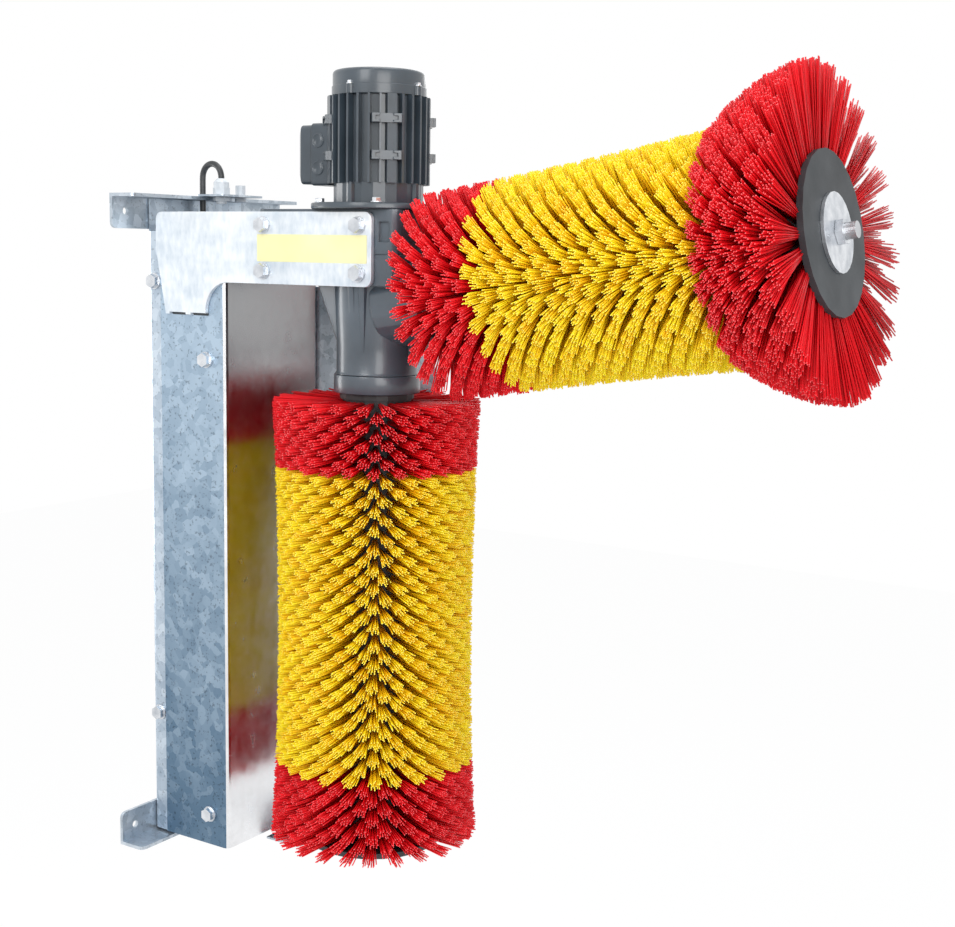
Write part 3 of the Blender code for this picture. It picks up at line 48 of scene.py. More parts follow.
# Camera, fitted to the photograph
CAMERA_AT = (1.6393, -1.6625, -0.0497)
CAMERA_AZIMUTH = 33.06
CAMERA_DOWN = 8.08
CAMERA_ROLL = 0.98
LENS = 56.31
SENSOR = 36.0

# Axes
MOTOR_X = 388.0 * MM
CROSSING_Z = -130.8 * MM
SIDE_TILT = math.radians(9.5)
MOTOR_AXIS = Matrix.Translation((MOTOR_X, 0, 0))
QUARTERS = (0, 90, 180, 270)

# Brushes: rings of tufts along each core, each ring half a pitch round from the last
CORE_R = 48.0 * MM
TUFTS_AROUND = 25
RING_STEP = 13.0 * MM
STRANDS = 18
FLARE_STRANDS = 34
STRAND_R = 1.0 * MM
ROOT_R = 3.0 * MM
ROOT_SINK = 1.0 * MM
SPREAD = (10.0 * MM, 7.0 * MM)        # of a tuft's tip, around the core and along it
FLARE_SPREAD = (11.5 * MM, 7.5 * MM)
SPREAD_AT = 140.0 * MM
SAG = 1.5 * MM                        # how far a tuft's tip strays along the core, and round it
TWIST = 2.5 * MM
PINCH = 0.8 * MM                      # of a tuft's middle
WAVER = 0.7 * MM                      # of a strand's middle
SHORTEST = 0.968                      # strand of a tuft, against the longest
ROOT_SHADE = 0.08
SEED = 7

# Supply cable: up out of the gland, over, and down through the top rail into the column
CABLE_ROUTE = [
    (0.0640, 0.0380, 0.0526),
    (0.0638, 0.0380, 0.0565),
    (0.0625, 0.0381, 0.0625),
    (0.0580, 0.0385, 0.0692),
    (0.0510, 0.0390, 0.0736),
    (0.0435, 0.0395, 0.0750),
    (0.0360, 0.0400, 0.0736),
    (0.0290, 0.0405, 0.0692),
    (0.0245, 0.0409, 0.0625),
    (0.0232, 0.0410, 0.0560),
    (0.0230, 0.0410, 0.0480),
    (0.0230, 0.0410, 0.0400),
    (0.0230, 0.0410, 0.0320),
    (0.0230, 0.0410, 0.0240),
    (0.0230, 0.0410, 0.0160),
    (0.0230, 0.0410, 0.0080),
    (0.0230, 0.0410, 0.0000),
]
CABLE_R = 4.6 * MM


# Materials

FOOT_SHADE_Z = (-0.95, -0.05)             # where the zinc's painted shade, darker towards the foot, starts and ends
MIRROR_SHADE_Z = (-0.36, -0.20)               # where the bright sheet's painted darker reflection starts and is full
COVER_EDGE_Y = -83.0 * MM
CASE_DARK, CASE_LIGHT = (0.046, 0.062, 0.078), (0.074, 0.096, 0.118)


class Nodes:
    """Short hand for a material's node tree."""

    def __init__(self, name):
        self.material = bpy.data.materials.new(name)
        self.material.use_nodes = True
        self.tree = self.material.node_tree
        self.shader = self.tree.nodes["Principled BSDF"]

    def add(self, kind, **values):
        node = self.tree.nodes.new(kind)
        for key, value in values.items():
            setattr(node, key, value)
        return node

    def link(self, source, target):
        self.tree.links.new(source, target)

    def place(self, scale=(1, 1, 1)):
        coords = self.add("ShaderNodeTexCoord")
        mapping = self.add("ShaderNodeMapping")
        mapping.inputs["Scale"].default_value = scale
        self.link(coords.outputs["Object"], mapping.inputs["Vector"])
        return mapping.outputs["Vector"]

    def noise(self, scale, detail=3.0, stretch=(1, 1, 1)):
        node = self.add("ShaderNodeTexNoise")
        node.inputs["Scale"].default_value = scale
        node.inputs["Detail"].default_value = detail
        self.link(self.place(stretch), node.inputs["Vector"])
        return node.outputs["Fac"]

    def crystals(self, scale, waver):
        """Cells of one value each, whose borders waver by that many metres."""
        place = self.place()
        drift = self.add("ShaderNodeTexNoise")
        drift.inputs["Scale"].default_value = scale * 0.8
        drift.inputs["Detail"].default_value = 3.0
        self.link(place, drift.inputs["Vector"])
        moved = self.add("ShaderNodeVectorMath", operation="MULTIPLY_ADD")
        self.link(drift.outputs["Color"], moved.inputs[0])
        moved.inputs[1].default_value = (waver, waver, waver)
        self.link(place, moved.inputs[2])
        node = self.add("ShaderNodeTexVoronoi")
        node.inputs["Scale"].default_value = scale
        self.link(moved.outputs["Vector"], node.inputs["Vector"])
        split = self.add("ShaderNodeSeparateColor")
        self.link(node.outputs["Color"], split.inputs["Color"])
        return split.outputs["Red"]

    def blend(self, first, second, share):
        mix = self.add("ShaderNodeMix", data_type="FLOAT")
        mix.inputs[0].default_value = share
        self.link(first, mix.inputs[2])
        self.link(second, mix.inputs[3])
        return mix.outputs[0]

    def tint(self, colour, value):
        """The colour, darkened where the value is low."""
        mix = self.add("ShaderNodeMix", data_type="RGBA", blend_type="MULTIPLY")
        mix.inputs[0].default_value = 1.0
        self.link(colour, mix.inputs[6])
        self.link(value, mix.inputs[7])
        return mix.outputs[2]

    def bow(self, start, curve):
        """The height, in metres, of a sheet that bows outwards along Y from the start."""
        split = self.add("ShaderNodeSeparateXYZ")
        self.link(self.place(), split.inputs["Vector"])
        run = self.add("ShaderNodeMath", operation="SUBTRACT")
        self.link(split.outputs["Y"], run.inputs[0])
        run.inputs[1].default_value = start
        square = self.add("ShaderNodeMath", operation="MULTIPLY")
        self.link(run.outputs[0], square.inputs[0])
        self.link(run.outputs[0], square.inputs[1])
        rise = self.add("ShaderNodeMath", operation="MULTIPLY")
        self.link(square.outputs[0], rise.inputs[0])
        rise.inputs[1].default_value = curve
        return rise.outputs[0]

    def height(self, low, high):
        """0 at the low height and 1 at the high one, in metres."""
        split = self.add("ShaderNodeSeparateXYZ")
        self.link(self.place(), split.inputs["Vector"])
        return self.span(split.outputs["Z"], 0.0, 1.0, low, high)

    def ramp(self, value, stops):
        node = self.add("ShaderNodeValToRGB")
        elements = node.color_ramp.elements
        while len(elements) < len(stops):
            elements.new(0.5)
        for element, (spot, colour) in zip(elements, stops):
            element.position = spot
            element.color = (*colour, 1)
        self.link(value, node.inputs["Fac"])
        return node.outputs["Color"]

    def span(self, value, low, high, start=0.0, end=1.0):
        node = self.add("ShaderNodeMapRange")
        node.inputs["From Min"].default_value = start
        node.inputs["From Max"].default_value = end
        node.inputs["To Min"].default_value = low
        node.inputs["To Max"].default_value = high
        self.link(value, node.inputs["Value"])
        return node.outputs["Result"]

    def soft_edges(self, radius):
        """A normal that runs smoothly round edges and facets within the radius."""
        node = self.add("ShaderNodeBevel", samples=6)
        node.inputs["Radius"].default_value = radius
        self.link(node.outputs["Normal"], self.shader.inputs["Normal"])

    def bump(self, height, strength, distance):
        node = self.add("ShaderNodeBump")
        for link in self.shader.inputs["Normal"].links:
            self.link(link.from_socket, node.inputs["Normal"])
        node.inputs["Strength"].default_value = strength
        node.inputs["Distance"].default_value = distance
        self.link(height, node.inputs["Height"])
        self.link(node.outputs["Normal"], self.shader.inputs["Normal"])

    def set(self, **values):
        for key, value in values.items():
            self.shader.inputs[key.replace("_", " ")].default_value = value
        return self.material


def galvanised(name, dark, light, rough=(0.3, 0.5), painted_foot_shade=0.0, specks=0.0):
    """Zinc on steel: fine mottled crystals, soft clouds and streaks that run down.

    The zinc can take painted shade, darker and duller towards the foot and lighter towards the top. With
    specks, small dark pits show in it.
    """
    n = Nodes(name)
    crystals = n.crystals(75.0, 0.010)
    cloud = n.noise(9.0, 5.0)
    streaks = n.noise(14.0, 4.0, (1, 1, 0.09))
    value = n.blend(n.blend(crystals, cloud, 0.55), streaks, 0.3)
    # painted shade: the zinc darker and duller towards the foot, lighter towards the top
    if painted_foot_shade:
        value = n.blend(value, n.height(*FOOT_SHADE_Z), painted_foot_shade)
    colour = n.ramp(value, [(0.28, dark), (0.72, light)])
    if specks:
        pits = n.span(n.noise(230.0, 2.0), 1.0, 0.0, 0.60, 0.68)
        shown = n.span(pits, 1.0 - specks, 1.0)
        colour = n.tint(colour, shown)
    n.link(colour, n.shader.inputs["Base Color"])
    n.link(n.span(value, rough[1], rough[0]), n.shader.inputs["Roughness"])
    n.bump(n.noise(120.0, 4.0), 0.18, 0.4 * MM)
    return n.set(Metallic=0.85)


def bright_zinc(name, dark, light):
    """Newly dipped plate: almost white, with soft slanting sheens and no crystals."""
    n = Nodes(name)
    sheen = n.noise(7.0, 3.0, (1, 1, 2.6))
    grain = n.noise(55.0, 5.0, (2.2, 1, 1))
    value = n.blend(sheen, grain, 0.35)
    n.link(n.ramp(value, [(0.3, dark), (0.62, light)]), n.shader.inputs["Base Color"])
    n.link(n.span(value, 0.55, 0.34, 0.3, 0.7), n.shader.inputs["Roughness"])
    n.bump(n.noise(140.0, 4.0), 0.15, 0.3 * MM)
    return n.set(Metallic=0.6)


def mirror_sheet():
    """Bright rolled sheet that mirrors the brush, dulled in clouds by wear, with a painted darker
    reflection towards its top.
    """
    n = Nodes("bright_sheet")
    marks = n.noise(30.0, 5.0, (1, 1, 0.25))
    wear = n.noise(60.0, 6.0)
    value = n.blend(marks, wear, 0.5)
    colour = n.ramp(value, [(0.3, (0.76, 0.76, 0.77)), (0.7, (0.94, 0.95, 0.97))])
    # painted reflection: the sheet darker towards its top
    painted_dark_top = n.span(n.height(*MIRROR_SHADE_Z), 1.0, 0.42)
    n.link(n.tint(colour, painted_dark_top), n.shader.inputs["Base Color"])
    n.link(n.span(value, 0.16, 0.30, 0.3, 0.7), n.shader.inputs["Roughness"])
    n.bump(n.noise(70.0, 4.0), 0.1, 0.5 * MM)
    n.bump(n.bow(COVER_EDGE_Y, 1.0), 1.0, 1.0)
    return n.set(Metallic=1.0)


def casting_paint(name, dark, light, soft):
    """Blue-grey enamel over a sand casting."""
    n = Nodes(name)
    n.soft_edges(soft)
    cloud = n.noise(18.0, 4.0)
    n.link(n.ramp(cloud, [(0.3, dark), (0.7, light)]), n.shader.inputs["Base Color"])
    n.link(n.span(n.noise(40.0, 4.0), 0.3, 0.46), n.shader.inputs["Roughness"])
    n.bump(n.noise(240.0, 3.0), 0.2, 0.4 * MM)
    return n.set(Metallic=0.0, Coat_Weight=0.5, Coat_Roughness=0.16)


def bristle(name, root, body, lit, painted_tip_highlight):
    """Nylon strands; each one has its own painted shade, stored on the mesh, dark at the root, and a pale
    painted highlight on its cut end.
    """
    n = Nodes(name)
    shade = n.add("ShaderNodeAttribute", attribute_name="shade")
    # painted shade from the dark root up to the lit colour, and a painted highlight on the cut end
    stops = [(0.0, root), (0.42, body), (0.8, lit), (0.88, lit), (0.93, painted_tip_highlight)]
    n.link(n.ramp(shade.outputs["Fac"], stops), n.shader.inputs["Base Color"])
    n.link(n.span(n.noise(90.0, 2.0), 0.32, 0.46), n.shader.inputs["Roughness"])
    return n.set(Specular_IOR_Level=0.2)


def plain(name, dark, light, rough, metallic=0.0, scale=30.0, bump=0.1, grain=220.0):
    """A cloudy colour between dark and light, with a fine grain."""
    n = Nodes(name)
    n.link(n.ramp(n.noise(scale, 4.0), [(0.3, dark), (0.7, light)]), n.shader.inputs["Base Color"])
    n.link(n.span(n.noise(scale * 1.7, 4.0), *rough), n.shader.inputs["Roughness"])
    n.bump(n.noise(grain, 3.0), bump, 0.3 * MM)
    return n.set(Metallic=metallic)


def make_metals():
    return {
        "galvanised": galvanised("galvanised", (0.34, 0.40, 0.46), (0.66, 0.72, 0.78), specks=0.25),
        "arm": bright_zinc("arm_zinc", (0.50, 0.58, 0.66), (0.90, 0.93, 0.95)),
        # the column's side and the channel take painted shade towards the foot
        "side": galvanised("column_zinc", (0.12, 0.20, 0.29), (0.46, 0.58, 0.70), (0.28, 0.5), 0.45, 0.4),
        "channel": galvanised("channel_zinc", (0.36, 0.44, 0.53), (0.66, 0.74, 0.82), painted_foot_shade=0.1, specks=0.3),
        "mirror": mirror_sheet(),
        "zinc": plain("zinc_plate", (0.52, 0.55, 0.59), (0.82, 0.84, 0.87), (0.2, 0.4), 0.95, 60.0),
        "steel": plain("machined_steel", (0.45, 0.46, 0.48), (0.65, 0.66, 0.68), (0.25, 0.4), 0.95),
        "copper": plain("copper_winding", (0.4, 0.17, 0.07), (0.7, 0.33, 0.15), (0.35, 0.5), 0.8),
    }


def make_paints():
    return {
        "paint": casting_paint("casting_paint", CASE_DARK, CASE_LIGHT, 5.0 * MM),
        "neck": casting_paint("neck_paint", CASE_DARK, CASE_LIGHT, 1.0 * MM),
        "motor": casting_paint("motor_paint", (0.028, 0.040, 0.052), (0.048, 0.065, 0.082), 0.8 * MM),
        "cap": casting_paint("cap_paint", (0.030, 0.042, 0.054), (0.050, 0.067, 0.084), 0.5 * MM),
    }


def make_plastics():
    return {
        "rubber": plain(
            "black_rubber", (0.018, 0.022, 0.026), (0.045, 0.052, 0.058), (0.4, 0.65),
            scale=14.0, bump=0.3, grain=120.0,
        ),
        "core": plain("black_core", (0.012, 0.012, 0.013), (0.03, 0.03, 0.032), (0.45, 0.6)),
        "pale": plain(
            "pale_plastic", (0.52, 0.56, 0.60), (0.74, 0.77, 0.80), (0.3, 0.42), scale=40.0, bump=0.05,
        ),
        "cable": plain(
            "cable_sheath", (0.014, 0.016, 0.018), (0.04, 0.043, 0.046), (0.3, 0.45), scale=60.0, bump=0.15,
        ),
        "label": plain(
            "blank_label", (0.76, 0.72, 0.36), (0.80, 0.77, 0.45), (0.3, 0.45), scale=12.0, bump=0.02,
        ),
    }


def make_nylons():
    return {
        # the root colours are painted shade deep in the brush; the cut ends' pale colours are painted
        # highlights
        "red": bristle(
            "red_nylon", root=(0.22, 0.002, 0.004), body=(0.62, 0.005, 0.010), lit=(0.88, 0.010, 0.018),
            painted_tip_highlight=(0.92, 0.13, 0.14),
        ),
        "yellow": bristle(
            "yellow_nylon", root=(0.55, 0.21, 0.003), body=(0.95, 0.55, 0.006), lit=(1.0, 0.80, 0.016),
            painted_tip_highlight=(1.0, 0.88, 0.16),
        ),
    }


LOOKS = {
    "galvanised": ["top_wall_rail", "bottom_wall_rail", "guard_plate", "gland_plate"],
    "channel": ["back_channel"],
    "zinc": [
        "near_arm_bolt_inner_upper", "near_arm_bolt_inner_lower", "near_arm_bolt_outer_upper",
        "near_arm_bolt_outer_lower", "far_arm_bolt_inner_upper", "far_arm_bolt_inner_lower",
        "far_arm_bolt_outer_upper", "far_arm_bolt_outer_lower", "cover_bolt_upper", "cover_bolt_lower",
        "channel_bolt_upper", "channel_bolt_lower", "vertical_end_nut", "side_end_nut", "side_end_washer",
    ],
    "paint": ["upper_gear_case", "lower_gear_case", "output_bearing_cap", "side_bearing_cap"],
    "motor": ["motor_frame"],
    "steel": [
        "bearing_carrier", "compound_axle", "upper_shaft_bearing", "lower_shaft_bearing",
        "side_shaft_bearing", "motor_bearing_upper", "motor_bearing_lower", "compound_gear", "motor_rotor",
        "vertical_shaft", "output_wheel", "vertical_bevel_gear", "side_shaft", "side_bevel_gear",
    ],
    "copper": ["motor_stator"],
    "core": ["vertical_brush_core", "side_brush_core"],
    "rubber": ["vertical_end_disc", "side_end_disc"],
    "pale": ["cable_gland", "blanking_plug"],
}


def dress_nodes(materials):
    for look, names in LOOKS.items():
        for name in names:
            mesh = NODES[name].data
            mesh.materials.clear()
            mesh.materials.append(materials[look])
    dress_cover(materials)


def dress_cover(materials):
    """The cover's front face is bright sheet, and its sides are duller."""
    mesh = NODES["front_cover"].data
    mesh.materials.clear()
    mesh.materials.append(materials["side"])
    mesh.materials.append(materials["mirror"])
    for face in mesh.polygons:
        face.material_index = 1 if face.normal.x > 0.6 else 0


# Pieces

def finish_piece(name, bm, material, body, slot, *replaced):
    mesh = bpy.data.meshes.new(name)
    bm.to_mesh(mesh)
    bm.free()
    piece = bpy.data.objects.new(name, mesh)
    bpy.context.scene.collection.objects.link(piece)
    mesh.materials.append(material)
    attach(piece, body)
    if replaced:
        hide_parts(*replaced)
    return piece


def make_cable(materials):
    curve = bpy.data.curves.new("supply_cable", "CURVE")
    curve.dimensions = "3D"
    curve.bevel_depth = CABLE_R
    curve.bevel_resolution = 5
    curve.use_fill_caps = True
    spline = curve.splines.new("NURBS")
    spline.points.add(len(CABLE_ROUTE) - 1)
    for point, spot in zip(spline.points, CABLE_ROUTE):
        point.co = (*spot, 1)
    spline.order_u = 4
    spline.use_endpoint_u = True
    spline.resolution_u = 6
    cable = bpy.data.objects.new("supply_cable", curve)
    bpy.context.scene.collection.objects.link(cable)
    curve.materials.append(materials["cable"])
    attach(cable, "frame")
    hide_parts("power_cable")


def rounded(corners, chords=8):
    """An outline whose corners, given as x, z and radius, are rounded."""
    outline = []
    for i, (x, z, r) in enumerate(corners):
        spot = Vector((x, z))
        if not r:
            outline.append(spot)
            continue
        before = (Vector(corners[i - 1][:2]) - spot).normalized()
        after = (Vector(corners[(i + 1) % len(corners)][:2]) - spot).normalized()
        half = before.angle(after) / 2
        middle = spot + (before + after).normalized() * (r / math.sin(half))
        start = spot + before * (r / math.tan(half)) - middle
        end = spot + after * (r / math.tan(half)) - middle
        first = math.atan2(start.y, start.x)
        sweep = math.atan2(start.x * end.y - start.y * end.x, start.dot(end))
        for step in range(chords + 1):
            turn = first + sweep * step / chords
            outline.append(middle + Vector((math.cos(turn), math.sin(turn))) * r)
    return outline


def round_hole(x, z, radius, sides=20):
    turns = [math.tau * k / sides for k in range(sides)]
    return [Vector((x + radius * math.cos(turn), z + radius * math.sin(turn))) for turn in turns]


def sheet_piece(name, loops, middle_y, thickness, edge, material, slot, *replaced):
    """A flat plate across Y, from its outline and its holes, with a soft edge."""
    curve = bpy.data.curves.new(name, "CURVE")
    curve.dimensions = "2D"
    curve.fill_mode = "BOTH"
    curve.extrude = thickness / 2 - edge
    curve.bevel_depth = edge
    curve.bevel_resolution = 1
    curve.offset = -edge
    for loop in loops:
        spline = curve.splines.new("POLY")
        spline.points.add(len(loop) - 1)
        for point, spot in zip(spline.points, loop):
            point.co = (spot.x, spot.y, 0, 1)
        spline.use_cyclic_u = True
    holder = bpy.data.objects.new(f"{name}_outline", curve)
    mesh = bpy.data.meshes.new_from_object(holder)
    bpy.data.objects.remove(holder)
    mesh.transform(Matrix.Translation((0, middle_y, 0)) @ Matrix.Rotation(math.pi / 2, 4, "X"))
    bm = bmesh.new()
    bm.from_mesh(mesh)
    bpy.data.meshes.remove(mesh)
    bmesh.ops.remove_doubles(bm, verts=bm.verts, dist=0.01 * MM)
    return finish_piece(name, bm, material, "frame", slot, *replaced)


def crease(piece):
    """Smooth shading, but for the sharp edges."""
    piece.data.set_sharp_from_angle(angle=math.radians(32))


# Arm plates: x, z and corner radius in millimetres, with two gaps between the welds under the tail
ARM_INNER_Y = 63.0 * MM
ARM_T = 7.0 * MM
ARM_EDGE = 0.6 * MM
TAIL_Z = -144.5
WELD_Z = -147.5
ARM_CORNERS = (
    (34, 0, 11), (429, 0, 11), (429, -99.5, 11), (131, -99.5, 42), (131, TAIL_Z, 0), (102, TAIL_Z, 0),
    (102, WELD_Z, 0), (92, WELD_Z, 0), (92, TAIL_Z, 0), (60, TAIL_Z, 0), (60, WELD_Z, 0), (52.5, WELD_Z, 0),
    (34, -52, 0),
)
ARM_HOLES = ((241, -18.05), (241, -81.45), (407.4, -18.05), (407.4, -81.45))
ARM_HOLE_R = 6.4 * MM
# dark strips of painted shadow in the gaps between the welds
SHADOW_STRIP_X = ((60.5, 91.5), (102.5, 130.5))
SHADOW_STRIP_Z = (-148.3, -144.7)
SHADOW_STRIP_T = 0.8 * MM
THIN_EDGE = 0.1 * MM
LABEL_X = (230, 422)
LABEL_Z = (-68.5, -31)
LABEL_T = 0.4 * MM
LABEL_CORNER = 1.5


def rectangle(across, up):
    """Its corners, from the upper left one, for a span across and one up."""
    return ((across[0], up[1]), (across[1], up[1]), (across[1], up[0]), (across[0], up[0]))


def make_arms(materials):
    """The arm plates again, with soft edges, a rounder, shorter tail and gaps between its welds."""
    outline = rounded([(x * MM, z * MM, r * MM) for x, z, r in ARM_CORNERS], 10)
    holes = [round_hole(x * MM, z * MM, ARM_HOLE_R) for x, z in ARM_HOLES]
    for name, side in (("near", -1), ("far", 1)):
        middle = side * (ARM_INNER_Y + ARM_T / 2)
        sheet_piece(
            f"{name}_arm", [outline, *holes], middle, ARM_T, ARM_EDGE, materials["arm"], "galvanised_steel",
            f"{name}_arm_plate",
        )


def make_gap_shadows(materials):
    """Dark strips of painted shadow in the gaps left between the welds under the near arm's tail."""
    strips = [[Vector((x * MM, z * MM)) for x, z in rectangle(across, SHADOW_STRIP_Z)[::-1]] for across in SHADOW_STRIP_X]
    middle = -ARM_INNER_Y - 0.3 * MM
    sheet_piece("weld_gap_shadows", strips, middle, SHADOW_STRIP_T, THIN_EDGE, materials["rubber"], "galvanised_steel")


def make_label(materials):
    """A blank plate where the arm carries its label."""
    outline = rounded([(x * MM, z * MM, LABEL_CORNER * MM) for x, z in rectangle(LABEL_X, LABEL_Z)], 4)
    middle = -(ARM_INNER_Y + ARM_T) - LABEL_T / 2
    sheet_piece("blank_label", [outline], middle, LABEL_T, THIN_EDGE, materials["label"], "pale_plastic")


def add_turned(bm, profile, matrix, sides=32):
    """A surface turned about Z from its radii and heights; radius 0 closes it."""
    turns = [math.tau * k / sides for k in range(sides)]
    rings = []
    for radius, height in profile:
        if radius:
            spots = [Vector((radius * math.cos(turn), radius * math.sin(turn), height)) for turn in turns]
            rings.append([bm.verts.new(matrix @ spot) for spot in spots])
        else:
            rings.append([bm.verts.new(matrix @ Vector((0, 0, height)))] * sides)
    for first, second in zip(rings, rings[1:]):
        for k in range(sides):
            j = (k + 1) % sides
            corners = dict.fromkeys((first[k], first[j], second[j], second[k]))
            if len(corners) > 2:
                bm.faces.new(corners).smooth = True


def add_prism(bm, outline, low, high, matrix, edge):
    """An outline in XY, raised from low to high, with a bevelled rim at the high end."""
    floor = [bm.verts.new(matrix @ Vector((x, y, low))) for x, y in outline]
    roof = [bm.verts.new(matrix @ Vector((x, y, high))) for x, y in outline]
    top = bm.faces.new(roof)
    bm.faces.new(floor[::-1])
    for k in range(len(outline)):
        j = (k + 1) % len(outline)
        bm.faces.new((floor[k], floor[j], roof[j], roof[k]))
    bmesh.ops.bevel(bm, geom=list(top.edges), offset=edge, segments=2, affect="EDGES", profile=0.6)


def hexagon(radius):
    return [(radius * math.cos(math.tau * k / 6), radius * math.sin(math.tau * k / 6)) for k in range(6)]


def around_motor(angle, radius, height):
    """A place beside the motor's axis, turned to face away from it."""
    turn = Matrix.Rotation(math.radians(angle), 4, "Z")
    return Matrix.Translation((MOTOR_X, 0, height)) @ turn @ Matrix.Translation((radius, 0, 0))


# Lugs: half of a pair, in millimetres, with a slot that opens towards the other half
PAD_ANGLES = (45, 135, 225, 315)
PAD_LEVELS = (74.3 * MM, 122.3 * MM)
PAD_R = 71.5 * MM
LUG = ((9, -6), (20, -6), (20, 6), (9, 6), (9, 2.8), (15.5, 2.8), (15.5, -2.8), (9, -2.8))
LUG_SINK = 0.2 * MM
LUG_H = 3.6 * MM
LUG_EDGE = 0.5 * MM


def make_lugs(materials):
    """Slotted lugs in pairs on the motor's foot pads."""
    bm = bmesh.new()
    outwards = Matrix.Rotation(math.pi / 2, 4, "Y") @ Matrix.Rotation(math.pi / 2, 4, "Z")
    for angle in PAD_ANGLES:
        for level in PAD_LEVELS:
            for side in (-1, 1):
                outline = [(side * x * MM, y * MM) for x, y in LUG][::side]
                matrix = around_motor(angle, 0, level) @ outwards
                add_prism(bm, outline, PAD_R - LUG_SINK, PAD_R + LUG_H, matrix, LUG_EDGE)
    finish_piece("motor_lugs", bm, materials["motor"], "frame", "painted_aluminium")


# Turned parts on the motor's axis
FINE = 96                             # sides of what has to look round
CAP_R = 63.0 * MM
CAP_WALL = 5.0 * MM
CAP_RIM = 1.2 * MM
CAP_RIM_H = 13.0 * MM
CAP_DISH = 0.8 * MM
SEAT_R = 20.3 * MM
SEAT_WALL_R = 25.0 * MM
SEAT_H = 10.0 * MM
EAR_R = 6.0 * MM
EAR_H = 12.0 * MM
EDGE = 0.6 * MM
FLANGE_R = 92.0 * MM
FLANGE_HOLE_R = 14.0 * MM
COLLAR_R = 60.0 * MM
COLLAR_HOLE_R = 17.0 * MM


def heights(node):
    """The low and the high end of a node."""
    return [corner.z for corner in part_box(node)]


def make_cap(materials):
    """The motor's end cap with its ears, round and with soft edges, hollow like the model's."""
    low, high = heights("motor_end_cap")
    roof = high - CAP_WALL
    seat = roof - CAP_WALL
    rim = CAP_R + CAP_RIM
    inner = CAP_R - CAP_WALL
    bm = bmesh.new()
    add_turned(bm, [
        (0, seat), (SEAT_R, seat), (SEAT_R, seat - SEAT_H), (SEAT_WALL_R, seat - SEAT_H),
        (SEAT_WALL_R, roof),
        (inner, roof), (inner, low), (rim - EDGE, low), (rim, low + EDGE),
        (rim, low + CAP_RIM_H - EDGE), (rim - EDGE, low + CAP_RIM_H), (CAP_R, low + CAP_RIM_H),
        (CAP_R, roof),
        (CAP_R - 0.7 * MM, high - 2.6 * MM), (CAP_R - 2.6 * MM, high - 0.7 * MM), (inner, high),
        (inner - 4 * MM, high), (inner - 5 * MM, high - CAP_DISH), (0, high - CAP_DISH),
    ], MOTOR_AXIS, FINE)
    ear = [
        (0, low), (EAR_R, low), (EAR_R, low + EAR_H - EDGE), (EAR_R - EDGE, low + EAR_H), (0, low + EAR_H),
    ]
    for angle in QUARTERS:
        add_turned(bm, ear, around_motor(angle, CAP_R, 0), 24)
    crease(finish_piece("end_cap", bm, materials["cap"], "frame", "painted_aluminium", "motor_end_cap"))


def make_ring(name, hole, profile, material, node):
    """A ring round the motor's axis: its outside from the low end to the high one, and a plain hole."""
    low, high = profile[0][1], profile[-1][1]
    bm = bmesh.new()
    add_turned(bm, [(hole, low), *profile, (hole, high), (hole, low)], MOTOR_AXIS, FINE)
    bmesh.ops.remove_doubles(bm, verts=bm.verts, dist=0.001 * MM)
    crease(finish_piece(name, bm, material, "frame", "painted_casting", node))


def make_flange(materials):
    """The input flange, with soft edges."""
    low, high = heights("input_flange")
    profile = [
        (FLANGE_R - 1.2 * MM, low), (FLANGE_R, low + 1.2 * MM), (FLANGE_R, high - 1.6 * MM),
        (FLANGE_R - 0.5 * MM, high - 0.5 * MM), (FLANGE_R - 1.6 * MM, high),
    ]
    make_ring("motor_flange", FLANGE_HOLE_R, profile, materials["cap"], "input_flange")


def make_collar(materials):
    """The cap of the output bearing, with soft edges."""
    low, high = heights("output_bearing_cap")
    profile = [
        (COLLAR_R - 1.6 * MM, low), (COLLAR_R - 0.5 * MM, low + 0.5 * MM), (COLLAR_R, low + 1.6 * MM),
        (COLLAR_R, high - 1.4 * MM), (COLLAR_R - 0.4 * MM, high - 0.4 * MM), (COLLAR_R - 1.4 * MM, high),
    ]
    make_ring("neck_collar", COLLAR_HOLE_R, profile, materials["neck"], "output_bearing_cap")


# Gear case's neck, in millimetres: a skin's radii and heights, open inside the side shaft's boss, and a web
# whose stations are height, half width at the root, reach from the axis and half width of the crest
SKIN = (
    (60.4, -98.2), (57.2, -165), (56.4, -182), (56.4, -216.4), (57.4, -218.6), (58.4, -219.8), (54, -219.8),
)
BOSS_LOW_Z = -164.0 * MM
BOSS_HALF_ANGLE = math.radians(50)
WEB_ANGLE = 287
WEB_FOOT = 50
WEB = ((-98.2, 13, 65.5, 4), (-150, 7, 60.5, 2.5), (-192, 2, 56, 1))


def make_neck_skin(materials):
    """The neck, round where the model has facets."""
    bm = bmesh.new()
    add_turned(bm, [(r * MM, z * MM) for r, z in SKIN], MOTOR_AXIS, FINE)
    inside = []
    for face in bm.faces:
        spot = face.calc_center_median()
        if spot.z > BOSS_LOW_Z and abs(math.atan2(spot.y, spot.x - MOTOR_X)) < BOSS_HALF_ANGLE:
            inside.append(face)
    bmesh.ops.delete(bm, geom=inside, context="FACES")
    finish_piece("neck_skin", bm, materials["neck"], "frame", "painted_casting")


def make_neck_web(materials):
    """A web that thins out down the neck."""
    bm = bmesh.new()
    place = around_motor(WEB_ANGLE, 0, 0)
    levels = []
    for z, root, reach, crest in WEB:
        outline = ((WEB_FOOT, -root), (reach, -crest), (reach, crest), (WEB_FOOT, root))
        levels.append([bm.verts.new(place @ Vector((x * MM, y * MM, z * MM))) for x, y in outline])
    join_loops(bm, levels)
    finish_piece("neck_web", bm, materials["neck"], "frame", "painted_casting")


